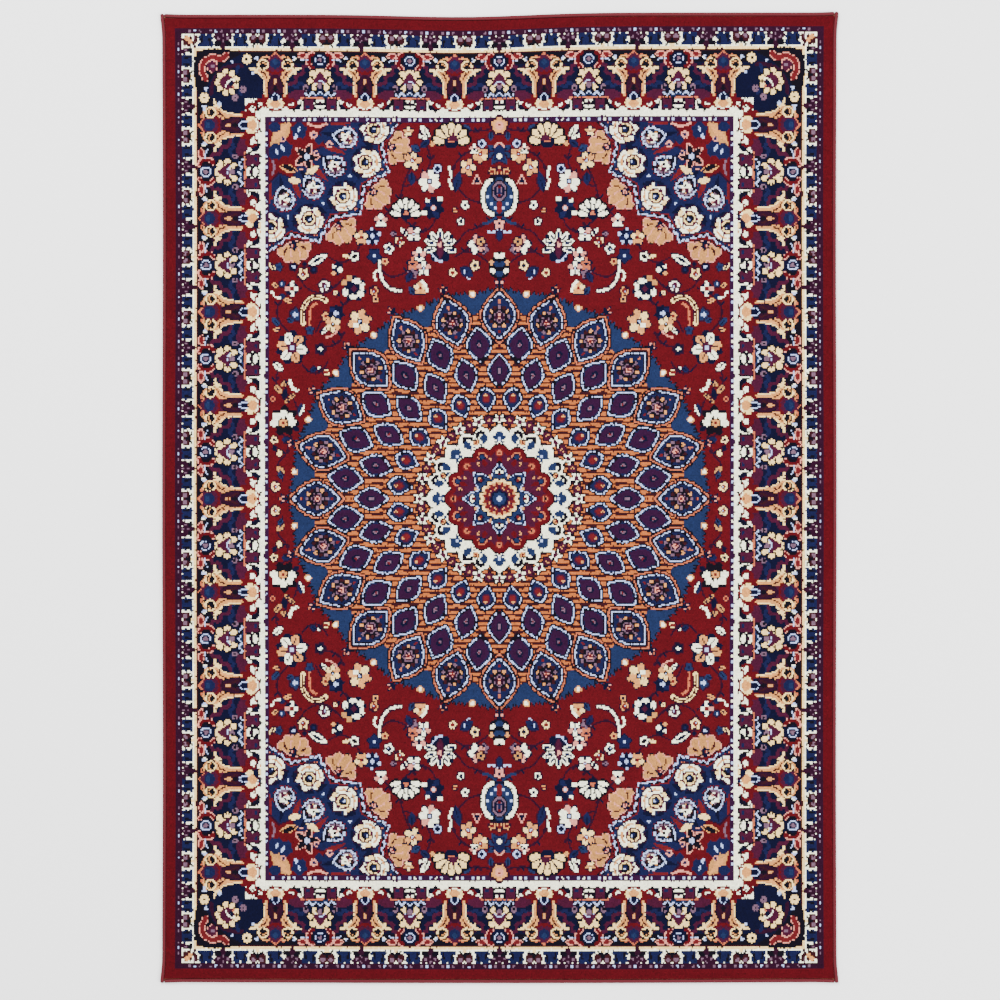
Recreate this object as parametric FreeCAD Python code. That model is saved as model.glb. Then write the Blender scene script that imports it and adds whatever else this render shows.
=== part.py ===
"""Area rug: a woven ground, a cut pile divided by the design it is woven in, and overlocked edges.

Millimetres, +Z up. X runs across the rug, Y along it. The origin is on the floor under the rug's centre.
Every ring of the border steps in by whole knots, so the design always falls on the weave's own grid.
"""

import math
import os

import FreeCAD
import Part

# Overall size, overlock to overlock
RUG_WIDTH = 1600.0
RUG_LENGTH = 2300.0

# Weave: distance between neighbouring knots across the rug, and between rows along it
KNOT_PITCH = 3.125
ROW_PITCH = 10.0 / 3.0

# Thickness of each layer, from the floor up
BACK_COAT_THICKNESS = 0.5
LOWER_WEFT_THICKNESS = 0.8
STUFFER_WARP_THICKNESS = 0.6
UPPER_WEFT_THICKNESS = 0.8
PILE_HEIGHT = 7.0

# Overlocked edge: a yarn winding round the cut edge, with the weave tucked into it
OVERLOCK_WIDTH = 9.0
OVERLOCK_HEIGHT = 9.0
OVERLOCK_ROUNDING = 3.5
WEAVE_TUCK = 5.0

# Border rings from the rug's edge inwards: (knots across, rows along)
EDGE_BAND = (10, 10)
OUTER_GUARD = (5, 4)
OUTER_MINOR_BORDER = (9, 10)
CREAM_FILLET = (3, 3)
MAIN_BORDER = (36, 33)
INNER_MINOR_BORDER = (12, 9)
IVORY_FILLET = (3, 4)
INNER_GUARD = (3, 4)

# Medallion: its leaf tips stop short of the field's edge by a margin, and each notch between two tips
# reaches in from them by a depth
MEDALLION_LEAVES = 24
MEDALLION_MARGIN = 31.0
SURROUND_NOTCH_DEPTH = 27.0
SURROUND_RIM = 15.0
GROUND_NOTCH_DEPTH = 58.0
COLLAR_TIP_RADIUS = 172.0
COLLAR_NOTCH_DEPTH = 13.0
ROSETTE_PETALS = 16
ROSETTE_TIP_RADIUS = 129.0
ROSETTE_NOTCH_DEPTH = 14.0
STAR_POINTS = 8
STAR_TIP_RADIUS = 89.0
STAR_NOTCH_DEPTH = 13.0

# Spandrels: quarters of a lobed disc, each centred on a corner of the field
SPANDREL_LOBES = 16
SPANDREL_TIP_RADIUS = 312.0
SPANDREL_NOTCH_DEPTH = 37.0

# How far a lobe's side bows out, as a share of the side's length
LOBE_BOW = 0.12

WEAVE_BOTTOM = BACK_COAT_THICKNESS
STUFFER_BOTTOM = WEAVE_BOTTOM + LOWER_WEFT_THICKNESS
UPPER_WEFT_BOTTOM = STUFFER_BOTTOM + STUFFER_WARP_THICKNESS
PILE_BOTTOM = UPPER_WEFT_BOTTOM + UPPER_WEFT_THICKNESS
PILE_INNER_WIDTH = RUG_WIDTH - 2 * OVERLOCK_WIDTH
PILE_INNER_LENGTH = RUG_LENGTH - 2 * OVERLOCK_WIDTH


def slab(width, length, bottom, thickness):
    """A flat box centred on the origin."""
    corner = FreeCAD.Vector(-width / 2, -length / 2, bottom)
    return Part.makeBox(width, length, thickness, corner)


def stepped_in(size, ring):
    """The size left inside a ring of so many knots and rows."""
    return size[0] - 2 * ring[0] * KNOT_PITCH, size[1] - 2 * ring[1] * ROW_PITCH


def lobed_disc(tip_radius, notch_depth, lobes):
    """A pile-high disc whose edge is a run of pointed lobes, with one tip on the +X axis."""
    pitch = 2 * math.pi / lobes
    corners = []
    for step in range(2 * lobes):
        radius = tip_radius if step % 2 == 0 else tip_radius - notch_depth
        angle = step * pitch / 2
        corners.append(FreeCAD.Vector(radius * math.cos(angle), radius * math.sin(angle), PILE_BOTTOM))
    edges = []
    for start, end in zip(corners, corners[1:] + corners[:1]):
        along = end - start
        outward = FreeCAD.Vector(along.y, -along.x, 0) * LOBE_BOW
        middle = (start + end) * 0.5 + outward
        edges.append(Part.Arc(start, middle, end).toShape())
    face = Part.Face(Part.Wire(edges))
    return face.extrude(FreeCAD.Vector(0, 0, PILE_HEIGHT))


def write_node(name, shape):
    """One closed solid per file, named as its node."""
    solid = shape.Solids[0] if len(shape.Solids) == 1 else shape
    if not solid.isValid() or len(shape.Solids) != 1:
        raise ValueError(name + " is not one valid solid")
    solid.exportStep("parts/" + name + ".step")


def woven_ground():
    """Latex coat on the back, then the two weft layers with the stuffer warps between them.

    The coat stops at the winding; the woven layers run on into it.
    """
    tucked_width = PILE_INNER_WIDTH + 2 * WEAVE_TUCK
    tucked_length = PILE_INNER_LENGTH + 2 * WEAVE_TUCK
    return {
        "back_coat": slab(PILE_INNER_WIDTH, PILE_INNER_LENGTH, 0, BACK_COAT_THICKNESS),
        "lower_weft": slab(tucked_width, tucked_length, WEAVE_BOTTOM, LOWER_WEFT_THICKNESS),
        "stuffer_warp": slab(tucked_width, tucked_length, STUFFER_BOTTOM, STUFFER_WARP_THICKNESS),
        "upper_weft": slab(tucked_width, tucked_length, UPPER_WEFT_BOTTOM, UPPER_WEFT_THICKNESS),
    }


def border_piles():
    """The nested rings of pile, and the size of the field that they leave."""
    rings = [
        ("edge_band_pile", EDGE_BAND),
        ("outer_guard_pile", OUTER_GUARD),
        ("outer_minor_border_pile", OUTER_MINOR_BORDER),
        ("cream_fillet_pile", CREAM_FILLET),
        ("main_border_pile", MAIN_BORDER),
        ("inner_minor_border_pile", INNER_MINOR_BORDER),
        ("ivory_fillet_pile", IVORY_FILLET),
        ("inner_guard_pile", INNER_GUARD),
    ]
    piles = {}
    outer = (PILE_INNER_WIDTH, PILE_INNER_LENGTH)
    line = (RUG_WIDTH, RUG_LENGTH)
    for name, ring in rings:
        line = stepped_in(line, ring)
        whole = slab(outer[0], outer[1], PILE_BOTTOM, PILE_HEIGHT)
        piles[name] = whole.cut(slab(line[0], line[1], PILE_BOTTOM, PILE_HEIGHT))
        outer = line
    return piles, line


def medallion_piles(field_size):
    """The medallion's regions, each a lobed disc less the next one in, and the whole medallion."""
    surround_tip_radius = min(field_size) / 2 - MEDALLION_MARGIN
    ground_tip_radius = surround_tip_radius - SURROUND_RIM
    outlines = [
        ("medallion_surround_pile", surround_tip_radius, SURROUND_NOTCH_DEPTH, MEDALLION_LEAVES),
        ("medallion_ground_pile", ground_tip_radius, GROUND_NOTCH_DEPTH, MEDALLION_LEAVES),
        ("medallion_collar_pile", COLLAR_TIP_RADIUS, COLLAR_NOTCH_DEPTH, MEDALLION_LEAVES),
        ("medallion_rosette_pile", ROSETTE_TIP_RADIUS, ROSETTE_NOTCH_DEPTH, ROSETTE_PETALS),
        ("medallion_star_pile", STAR_TIP_RADIUS, STAR_NOTCH_DEPTH, STAR_POINTS),
    ]
    discs = [lobed_disc(tip, depth, lobes) for _, tip, depth, lobes in outlines]
    piles = {}
    for index, outline in enumerate(outlines):
        region = discs[index]
        if index + 1 < len(discs):
            region = region.cut(discs[index + 1])
        piles[outline[0]] = region
    return piles, discs[0]


def field_piles(field_size, medallion):
    """The four corner spandrels, and the field left between them and the medallion."""
    width, length = field_size
    field = slab(width, length, PILE_BOTTOM, PILE_HEIGHT)
    disc = lobed_disc(SPANDREL_TIP_RADIUS, SPANDREL_NOTCH_DEPTH, SPANDREL_LOBES)
    piles = {}
    for end, side_y in (("front", -1), ("back", 1)):
        for side, side_x in (("left", -1), ("right", 1)):
            corner = FreeCAD.Vector(side_x * width / 2, side_y * length / 2, 0)
            piles["spandrel_pile_" + end + "_" + side] = disc.translated(corner).common(field)
    rest = field.cut(medallion)
    for spandrel in piles.values():
        rest = rest.cut(spandrel)
    piles["field_pile"] = rest
    return piles


def overlock_windings():
    """Four yarn windings: the side ones run the whole length, the end ones fit between them."""
    weave_height = PILE_BOTTOM - WEAVE_BOTTOM
    tucked_width = PILE_INNER_WIDTH + 2 * WEAVE_TUCK
    tucked_length = PILE_INNER_LENGTH + 2 * WEAVE_TUCK
    weave = slab(tucked_width, tucked_length, WEAVE_BOTTOM, weave_height)
    whole = slab(RUG_WIDTH, RUG_LENGTH, 0, OVERLOCK_HEIGHT)
    top_rim = [
        edge
        for edge in whole.Edges
        if all(abs(vertex.Z - OVERLOCK_HEIGHT) < 1e-6 for vertex in edge.Vertexes)
    ]
    whole = whole.makeFillet(OVERLOCK_ROUNDING, top_rim)
    whole = whole.cut(slab(PILE_INNER_WIDTH, PILE_INNER_LENGTH, 0, OVERLOCK_HEIGHT)).cut(weave)
    between = slab(PILE_INNER_WIDTH, RUG_LENGTH, 0, OVERLOCK_HEIGHT)
    sides = whole.cut(between)
    ends = whole.common(between)
    windings = {}
    for solid in sides.Solids:
        name = "overlock_left" if solid.CenterOfMass.x < 0 else "overlock_right"
        windings[name] = solid
    for solid in ends.Solids:
        name = "overlock_front" if solid.CenterOfMass.y < 0 else "overlock_back"
        windings[name] = solid
    return windings


os.makedirs("parts", exist_ok=True)
rings, field_size = border_piles()
regions, medallion = medallion_piles(field_size)
for group in (woven_ground(), overlock_windings(), rings, regions, field_piles(field_size, medallion)):
    for name, shape in group.items():
        write_node(name, shape)
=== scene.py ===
import math

import bpy
import numpy as np
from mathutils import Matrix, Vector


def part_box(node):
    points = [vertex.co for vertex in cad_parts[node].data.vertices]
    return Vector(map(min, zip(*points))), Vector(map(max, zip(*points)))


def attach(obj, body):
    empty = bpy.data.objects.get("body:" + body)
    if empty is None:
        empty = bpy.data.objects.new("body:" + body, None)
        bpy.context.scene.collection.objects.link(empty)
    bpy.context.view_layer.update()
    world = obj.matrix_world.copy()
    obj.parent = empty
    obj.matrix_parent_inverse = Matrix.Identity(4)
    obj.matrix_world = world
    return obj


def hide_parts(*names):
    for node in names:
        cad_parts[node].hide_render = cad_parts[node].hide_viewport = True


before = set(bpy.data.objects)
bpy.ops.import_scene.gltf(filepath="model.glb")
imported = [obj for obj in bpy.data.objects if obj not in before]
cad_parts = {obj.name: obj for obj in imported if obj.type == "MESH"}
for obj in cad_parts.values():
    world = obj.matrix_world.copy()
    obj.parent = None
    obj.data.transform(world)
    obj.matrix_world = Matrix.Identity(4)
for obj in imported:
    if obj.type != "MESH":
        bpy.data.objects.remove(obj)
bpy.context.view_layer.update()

# ---------------------------------------------------------------------------------------------------------
# The woven ground: cotton stuffer warps between two layers of jute weft, sized on the back with latex. The
# loom beats the wefts up row by row, so the back shows them as ribs, with flecks of the pile yarn that each
# row binds in. It lies on the floor, not quite true: its head end is drawn in a little and its corners flare.
# ---------------------------------------------------------------------------------------------------------
MM = 0.001
HALF_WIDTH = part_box("overlock_right")[1][0]
HALF_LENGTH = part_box("overlock_back")[1][1]
HEAD_DRAWN_IN, HEAD_EASED = 6.0 * MM, 5.0 * MM
DIP_AT, DIP_WIDTH = -0.09, 0.2   # metres across the rug
EASED_FROM, EASED_WIDTH = 0.1, 0.14
FOOT_BOW = 2.5 * MM
SIDE_WAVER = 0.8 * MM
CORNER_FLARE = 4.5 * MM
CORNER_REACH = 32 * MM
END_REACH = 230 * MM
JUTE, COTTON, LATEX = "#A98C5F", "#D9CDB2", "#C9B88F"


def linear(hex_colour):
    """An sRGB hex colour as the linear numbers that shaders take."""
    parts = [int(hex_colour[index:index + 2], 16) / 255 for index in (1, 3, 5)]
    return tuple(part / 12.92 if part <= 0.04045 else ((part + 0.055) / 1.055) ** 2.4 for part in parts)


def as_it_lies(points):
    """Flat rug coordinates moved to where the cloth really lies, in plan only."""
    x, y = points[:, 0], points[:, 1]
    to_head, to_foot = HALF_LENGTH - y, y + HALF_LENGTH
    dip = -HEAD_DRAWN_IN * np.exp(-((x - DIP_AT) / DIP_WIDTH) ** 2)
    rise = HEAD_EASED * (0.5 + 0.5 * np.tanh((x - EASED_FROM) / EASED_WIDTH))
    head = (dip + rise - 0.5 * MM) * np.exp(-(to_head / END_REACH) ** 2)
    foot = FOOT_BOW * (x / HALF_WIDTH) ** 2 * np.exp(-(to_foot / END_REACH) ** 2)
    aside = HALF_WIDTH - np.abs(x)
    end = HALF_LENGTH - np.abs(y)
    flare = CORNER_FLARE * np.exp(-(aside ** 2 + end ** 2) / CORNER_REACH ** 2)
    moved_points = points.copy()
    waver = SIDE_WAVER * np.sin(y * 5.1 + x * 2.0) * np.abs(x) / HALF_WIDTH
    moved_points[:, 0] = x + flare * np.sign(x) + waver
    moved_points[:, 1] = y + head + foot + flare * 0.4 * np.sign(y)
    return moved_points


def piece_from(name, vertices, faces, material, slot, *nodes):
    """A mesh piece in the place of its CAD nodes."""
    mesh = bpy.data.meshes.new(name)
    mesh.from_pydata(vertices.tolist(), [], faces)
    mesh.update()
    piece = bpy.data.objects.new(name, mesh)
    bpy.context.scene.collection.objects.link(piece)
    mesh.materials.append(material)
    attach(piece, "root")
    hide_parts(*nodes)
    return piece


def node(tree, kind, settings=None, links=None):
    """Add a node, set its properties and sockets, and link its inputs."""
    made = tree.nodes.new(kind)
    for key, value in (settings or {}).items():
        if isinstance(key, str) and hasattr(made, key):
            setattr(made, key, value)
        else:
            made.inputs[key].default_value = value
    for key, source in (links or {}).items():
        tree.links.new(source, made.inputs[key])
    return made


def new_material(name):
    """An empty node material and its output."""
    material = bpy.data.materials.new(name)
    material.use_nodes = True
    tree = material.node_tree
    tree.nodes.clear()
    return material, tree, tree.nodes.new("ShaderNodeOutputMaterial")


def woven_layer(name, node_name, material, slot, thread_pitch, ribs_across):
    """A closed slab of cloth with rounded ribs where its threads lie side by side."""
    low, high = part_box(node_name)
    half_x, half_y = high[0], high[1]
    columns, rows = 24, int(half_y * 2 / thread_pitch)
    if not ribs_across:
        columns, rows = int(half_x * 2 / thread_pitch), 36
    x, y = np.meshgrid(np.linspace(-half_x, half_x, columns + 1), np.linspace(-half_y, half_y, rows + 1))
    count = x.size
    flat = np.column_stack([x.ravel(), y.ravel(), np.zeros(count)])
    place = as_it_lies(flat)
    index = np.arange(rows + 1)[:, None] if ribs_across else np.arange(columns + 1)[None, :]
    rib = np.broadcast_to((index % 2) * 0.25 * (high[2] - low[2]), x.shape).ravel()
    below = np.column_stack([place[:, :2], low[2] + rib])
    above = np.column_stack([place[:, :2], np.full(count, high[2])])
    corner = np.arange(count).reshape(x.shape)
    a, b, c, d = (corner[:-1, :-1], corner[:-1, 1:], corner[1:, 1:], corner[1:, :-1])
    under = np.stack([a, d, c, b], -1).reshape(-1, 4)
    over = np.stack([a, b, c, d], -1).reshape(-1, 4) + count
    rim = np.concatenate([corner[0, :], corner[1:, -1], corner[-1, -2::-1], corner[-2:0:-1, 0]])
    after = np.roll(rim, -1)
    wall = np.column_stack([rim, after, after + count, rim + count])
    faces = np.concatenate([under, over, wall]).tolist()
    return piece_from(name, np.concatenate([below, above]), faces, material, slot, node_name)


def two_tone(tree, factor, *stops):
    """A ramp between two shades of one yarn, given as where each starts and its colour."""
    ramp = node(tree, "ShaderNodeValToRGB", {}, {"Fac": factor})
    for stop, (start, shade) in zip(ramp.color_ramp.elements, stops):
        stop.position, stop.color = start, (*linear(shade), 1)
    return ramp.outputs["Color"]


def yarn_cloth(name, base, fleck_and_hollow_shade, across_mm, along_mm, roughness):
    """Plain spun yarn packed side by side: matt, lighter along each thread where the grain stands high and
    darker where it lies low, partly the yarn's own flecks and partly painted highlight and shade.
    """
    material, tree, out = new_material(name)
    place = node(tree, "ShaderNodeTexCoord").outputs["Object"]
    stretched = node(tree, "ShaderNodeMapping", {"Scale": (1 / across_mm, 1 / along_mm, 1)},
                     {"Vector": place})
    thousand = node(tree, "ShaderNodeVectorMath", {"operation": "SCALE", "Scale": 1000.0},
                    {0: stretched.outputs[0]})
    grain = node(tree, "ShaderNodeTexNoise", {"Scale": 1.0, "Detail": 3.0}, {"Vector": thousand.outputs[0]})
    # The colour follows the same grain as the bump: the dark end in the low spots is partly painted shade,
    # the light end on the high spots partly painted highlight.
    colour = two_tone(tree, grain.outputs["Fac"], (0.32, fleck_and_hollow_shade), (0.62, base))
    bump = node(tree, "ShaderNodeBump", {"Strength": 0.5, "Distance": 0.0006},
                {"Height": grain.outputs["Fac"]})
    cloth = node(tree, "ShaderNodeBsdfPrincipled", {"Roughness": roughness, "IOR": 1.5, "Sheen Weight": 0.15},
                 {"Base Color": colour, "Normal": bump.outputs["Normal"]})
    tree.links.new(cloth.outputs[0], out.inputs[0])
    return material


jute = yarn_cloth("jute_weft_yarn", JUTE, "#7E6440", 6.0, 1.7, 0.9)
cotton = yarn_cloth("cotton_warp_yarn", COTTON, "#B9AC8E", 1.6, 8.0, 0.85)
latex = yarn_cloth("latex_sizing_over_jute", LATEX, "#94805A", 3.1, 1.6, 0.6)
WEFT_PITCH = 3.3 * MM
back = woven_layer("latex_back_coat", "back_coat", latex, "latex_coat", WEFT_PITCH / 2, True)
lower_weft = woven_layer("lower_jute_weft", "lower_weft", jute, "jute_weft", WEFT_PITCH / 2, True)
stuffer = woven_layer("cotton_stuffer_warp", "stuffer_warp", cotton, "cotton_warp", 3.1 * MM, False)
upper_weft = woven_layer("upper_jute_weft", "upper_weft", jute, "jute_weft", WEFT_PITCH / 2, True)

# ---------------------------------------------------------------------------------------------------------
# The point paper. Before a rug is woven, its design is drawn knot by knot on squared paper, and only one
# quarter is drawn, because the loom card mirrors it both ways. Places on it are counted in knots across and
# rows along, out from the rug's centre. Outlines are inked over each other, the last one on top.
# ---------------------------------------------------------------------------------------------------------
KNOT = 3.125                     # mm between knots across the rug
ROW = 10.0 / 3.0                 # mm between rows along it
HALF_KNOTS = 256
HALF_ROWS = 345

YARNS = {
    "red": "#46070E",
    "burgundy": "#340A20",
    "aubergine": "#230724",
    "black": "#08050F",
    "navy": "#05061E",
    "indigo": "#0E1232",
    "blue": "#15203E",
    "ivory": "#EAEACE",
    "ice": "#9BAAD3",
    "cream": "#E0BE7C",
    "mauve": "#5B4453",
    "plum": "#200418",
    "beige": "#B77B46",
    "tan": "#A2703F",
    "salmon": "#9E5338",
    "pink": "#BD7869",
    "apricot": "#9C5429",
    "umber": "#290B11",
    "brick": "#521216",
    "edge_red": "#42050C",
}
YARN_NUMBERS = {name: number for number, name in enumerate(YARNS)}

paper = np.zeros((HALF_ROWS, HALF_KNOTS), np.uint8)
paper_u, paper_v = np.meshgrid(np.arange(HALF_KNOTS) + 0.5, np.arange(HALF_ROWS) + 0.5)


def spot(u, v, turn=0.0, size=1.0, across=1.0, along=1.0):
    """Where a motif's own x and y axes lie on the paper; across and along stretch or mirror it."""
    cos, sin = math.cos(math.radians(turn)) * size, math.sin(math.radians(turn)) * size
    return np.array([[cos * across, -sin * along, u], [sin * across, cos * along, v]])


def round_spot(radius, angle, turn=0.0, size=1.0):
    """A place so many mm from the centre, clockwise from the rug's length, its y axis pointing outwards."""
    away = math.radians(angle)
    cos, sin = math.cos(math.radians(turn - angle)), math.sin(math.radians(turn - angle))
    centre = (radius * math.sin(away) / KNOT, radius * math.cos(away) / ROW)
    return np.array([
        [cos * size / KNOT, -sin * size / KNOT, centre[0]],
        [sin * size / ROW, cos * size / ROW, centre[1]],
    ])


def moved(place, x, y, turn=0.0, size=1.0, across=1.0, along=1.0):
    """A spot within a motif's own axes."""
    inner = spot(x, y, turn, size, across, along)
    axes = place[:, :2] @ inner[:, :2]
    origin = place[:, :2] @ inner[:, 2] + place[:, 2]
    return np.column_stack([axes, origin])


def rounded(points, closed=True, steps=5):
    """A smooth line through the points."""
    count = len(points)
    line = []
    for index in range(count if closed else count - 1):
        near = [points[(index + k) % count] if closed else points[min(max(index + k, 0), count - 1)]
                for k in (-1, 0, 1, 2)]
        before, start, end, after = (np.array(point, float) for point in near)
        for step in range(steps):
            t = step / steps
            line.append(0.5 * (2 * start + (end - before) * t
                               + (2 * before - 5 * start + 4 * end - after) * t ** 2
                               + (3 * start - before - 3 * end + after) * t ** 3))
    if not closed:
        line.append(np.array(points[-1], float))
    return line


def window(line, reach=0.0):
    """The part of the paper that a line's box covers."""
    low = np.floor(line.min(axis=0) - reach).astype(int)
    high = np.ceil(line.max(axis=0) + reach).astype(int)
    columns = slice(max(low[0], 0), max(min(high[0], HALF_KNOTS), 0))
    rows = slice(max(low[1], 0), max(min(high[1], HALF_ROWS), 0))
    return rows, columns


def fill(place, points, yarn, smooth=True):
    """Ink a closed outline."""
    outline = np.array(rounded(points) if smooth else points, float)
    line = outline @ place[:, :2].T + place[:, 2]
    rows, columns = window(line)
    u, v = paper_u[rows, columns], paper_v[rows, columns]
    if not u.size:
        return
    inside = np.zeros(u.shape, bool)
    for (u0, v0), (u1, v1) in zip(line, np.roll(line, -1, axis=0)):
        if v0 == v1:
            continue
        crossed = (v0 > v) != (v1 > v)
        inside ^= crossed & (u < (u1 - u0) * (v - v0) / (v1 - v0) + u0)
    paper[rows, columns][inside] = YARN_NUMBERS[yarn]


def thread(place, points, width, yarn, smooth=True):
    """Ink a line of so many knots' width."""
    path = np.array(rounded(points, closed=False) if smooth else points, float)
    line = path @ place[:, :2].T + place[:, 2]
    rows, columns = window(line, width)
    u, v = paper_u[rows, columns], paper_v[rows, columns]
    if not u.size:
        return
    nearest = np.full(u.shape, 1e9)
    for (u0, v0), (u1, v1) in zip(line[:-1], line[1:]):
        du, dv = u1 - u0, v1 - v0
        share = np.clip(((u - u0) * du + (v - v0) * dv) / max(du * du + dv * dv, 1e-9), 0, 1)
        nearest = np.minimum(nearest, np.hypot(u - u0 - share * du, v - v0 - share * dv))
    paper[rows, columns][nearest <= width / 2] = YARN_NUMBERS[yarn]


def oval(place, x, y, half_x, half_y, yarn, turn=0.0):
    cos, sin = math.cos(math.radians(turn)), math.sin(math.radians(turn))
    points = []
    for step in range(14):
        angle = step * math.tau / 14
        along, over = half_x * math.cos(angle), half_y * math.sin(angle)
        points.append((x + along * cos - over * sin, y + along * sin + over * cos))
    fill(place, points, yarn, smooth=False)


def nested(place, x, y, *sizes):
    """Ovals about the same middle, each inked over the one before."""
    for half_u, half_v, yarn in sizes:
        oval(place, x, y, half_u, half_v, yarn)


def lobed(place, x, y, radius, depth, lobes, yarn, turn=0.0):
    """A round flower whose edge swells into lobes."""
    points = []
    for step in range(lobes * 6):
        angle = step * math.tau / (lobes * 6)
        reach = radius - depth * (0.5 - 0.5 * math.cos(lobes * angle))
        away = angle + math.radians(90 + turn)
        points.append((x + reach * math.cos(away), y + reach * math.sin(away)))
    fill(place, points, yarn, smooth=False)


def leaf(place, base, tip, width, yarn):
    """A pointed leaf, widest at its middle."""
    base, tip = np.array(base, float), np.array(tip, float)
    side = np.array([base[1] - tip[1], tip[0] - base[0]])
    side = side / np.hypot(*side) * width / 2
    quarter, middle = base * 0.75 + tip * 0.25, (base + tip) / 2
    three = base * 0.25 + tip * 0.75
    points = [base, quarter + side * 0.75, middle + side, three + side * 0.75, tip,
              three - side * 0.75, middle - side, quarter - side * 0.75]
    fill(place, points, yarn, smooth=False)


def mirrored(right):
    """A closed outline from its right half, whose points run from one end of the middle line to the other."""
    return right + [(-x, y) for x, y in reversed(right) if x]


def sides(place):
    """The two halves of a motif that mirrors about its own y axis."""
    return [place, moved(place, 0, 0, across=-1)]


def band(inner, outer, yarn):
    """Ink one ring of the border: (knots, rows) from the centre to its two edges."""
    within = (paper_u < outer[0]) & (paper_v < outer[1])
    beyond = (paper_u > inner[0]) | (paper_v > inner[1])
    paper[within & beyond] = YARN_NUMBERS[yarn]

# ---------------------------------------------------------------------------------------------------------
# Ground colours and guard stripes. A Persian-style rug is framed by nested borders; each is woven in its own
# ground yarn first, and the narrow guard stripes between them carry short ticks in groups of three.
# ---------------------------------------------------------------------------------------------------------
# Band edges, in knots across and rows along from the centre
FIELD = (175, 268)
INNER_GUARD = (178, 272)
IVORY_FILLET = (181, 276)
INNER_MINOR = (193, 285)
MAIN_BORDER = (229, 318)
CREAM_FILLET = (232, 321)
OUTER_MINOR = (241, 331)
OUTER_GUARD = (246, 335)
RUG_EDGE = (HALF_KNOTS, HALF_ROWS)
GUARD_REPEAT = 16                # knots from one group of three ticks to the next
DRAWING = spot(0, 0)


def guard_ticks(middle, length, bright, dim, first):
    """Groups of three short ticks, the middle one brightest, along both arms of a guard stripe."""
    for step in range(-8, int(max(length)) + GUARD_REPEAT, 4):
        phase = step % GUARD_REPEAT
        yarn, size = (bright, 1.0) if phase == 0 else (dim, 0.9)
        if phase == 8:
            continue
        if first + step < length[0]:
            oval(DRAWING, first + step, middle[1], 0.9 * size, 1.2 * size, yarn)
        if step < length[1]:
            oval(DRAWING, middle[0], step, 1.2 * size, 0.9 * size, yarn)


band((0, 0), FIELD, "red")
band(FIELD, INNER_MINOR, "ivory")
band(INNER_MINOR, MAIN_BORDER, "navy")
band((INNER_MINOR[0] + 25, INNER_MINOR[1] + 25), MAIN_BORDER, "black")
band(MAIN_BORDER, CREAM_FILLET, "cream")
band(CREAM_FILLET, OUTER_MINOR, "ivory")
band(MAIN_BORDER, (MAIN_BORDER[0] + 1, MAIN_BORDER[1] + 1), "umber")

# ---------------------------------------------------------------------------------------------------------
# The three patterned borders. The wide navy one alternates a lyre of two beige leaves round a blue bud with
# an ivory flower under a small roundel; the ivory borders either side of it repeat in step with these motifs.
# ---------------------------------------------------------------------------------------------------------
LYRE_STEP = (68, 66.5)           # knots along an end, rows along a side, from one lyre to the next
ROSETTE_STEP = (52.4, 43)        # the same for the outer minor border's rosettes


def along_border(step, first, edge, depth, reach):
    """Spots for a repeat, x along the border and y outwards. Depth scales y at the end and at the side."""
    spots = []
    for count in range(9):
        at = (count + first) * step[0]
        if at < reach[0]:
            spots.append(np.array([[1, 0, at], [0, depth[0], edge[1]]]))
        at = (count + 0.5 - first) * step[1]
        if at < reach[1]:
            spots.append(np.array([[0, depth[1], edge[0]], [step[1] / step[0], 0, at]]))
    return spots


def lyre(place):
    fill(place, mirrored([(0, 33.5), (6, 31), (12, 27), (11, 20), (6, 14), (7, 4), (0, 2)]), "black")
    fill(place, mirrored([(0, 17.4), (4, 13), (5.5, 4)]), "plum")
    fill(place, mirrored([(0, 31.5), (5, 29), (6.2, 20), (5.5, 14), (0, 17.6)]), "burgundy")
    thread(place, [(-6, 20.4), (-2, 17.8), (0, 18.8), (2, 17.8), (6, 20.4)], 1.8, "red")
    thread(place, [(-4.6, 28.8), (0, 32.4), (4.6, 28.8)], 1.1, "salmon", smooth=False)
    oval(place, 0, 25, 4.4, 3.8, "indigo")
    oval(place, 0, 26, 2.4, 1.6, "blue")
    for half in sides(place):
        leaf(half, (5.5, 2), (9.5, -5.5), 6.5, "red")
        oval(half, 7.4, 0.5, 2.8, 4.2, "red")
        fill(half, [(6.1, 2), (6, 10), (4.4, 14.5), (5.4, 18.5), (8.5, 20.5), (12, 22.4), (13.4, 20.6),
                    (11.8, 18), (9.2, 15), (8.2, 9), (7.9, 2)], "beige")
        thread(half, [(8, 3.5), (8.4, 10), (10, 15), (13.4, 19), (14, 21.6)], 1.0, "cream")
        thread(half, [(6, 14), (7.6, 17.2), (11, 19.6)], 1.0, "umber")
        nested(half, 9.4, 24.2, (4.4, 4.0, "cream"), (3.1, 2.8, "black"))
        thread(half, [(6.8, 24.4), (9.4, 25.2), (12, 24.4)], 0.9, "beige")
        thread(half, [(12.6, 26.6), (9, 29.2), (5.2, 29)], 1.1, "beige")
        oval(half, 6, 30.4, 1.3, 1.0, "salmon")
        thread(half, [(14.6, 17.6), (15.6, 20.4), (18.8, 21.4)], 2.2, "cream")
        oval(half, 13.6, 28.6, 1.1, 1.8, "ice")
    thread(place, [(-3.6, 5.5), (-1.4, 10.5), (0, 12.8), (1.4, 10.5), (3.6, 5.5)], 1.1, "umber")
    leaf(place, (0, 9), (0, 14.4), 2.8, "beige")
    leaf(place, (0, 4), (0, 9.4), 3.4, "black")


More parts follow.
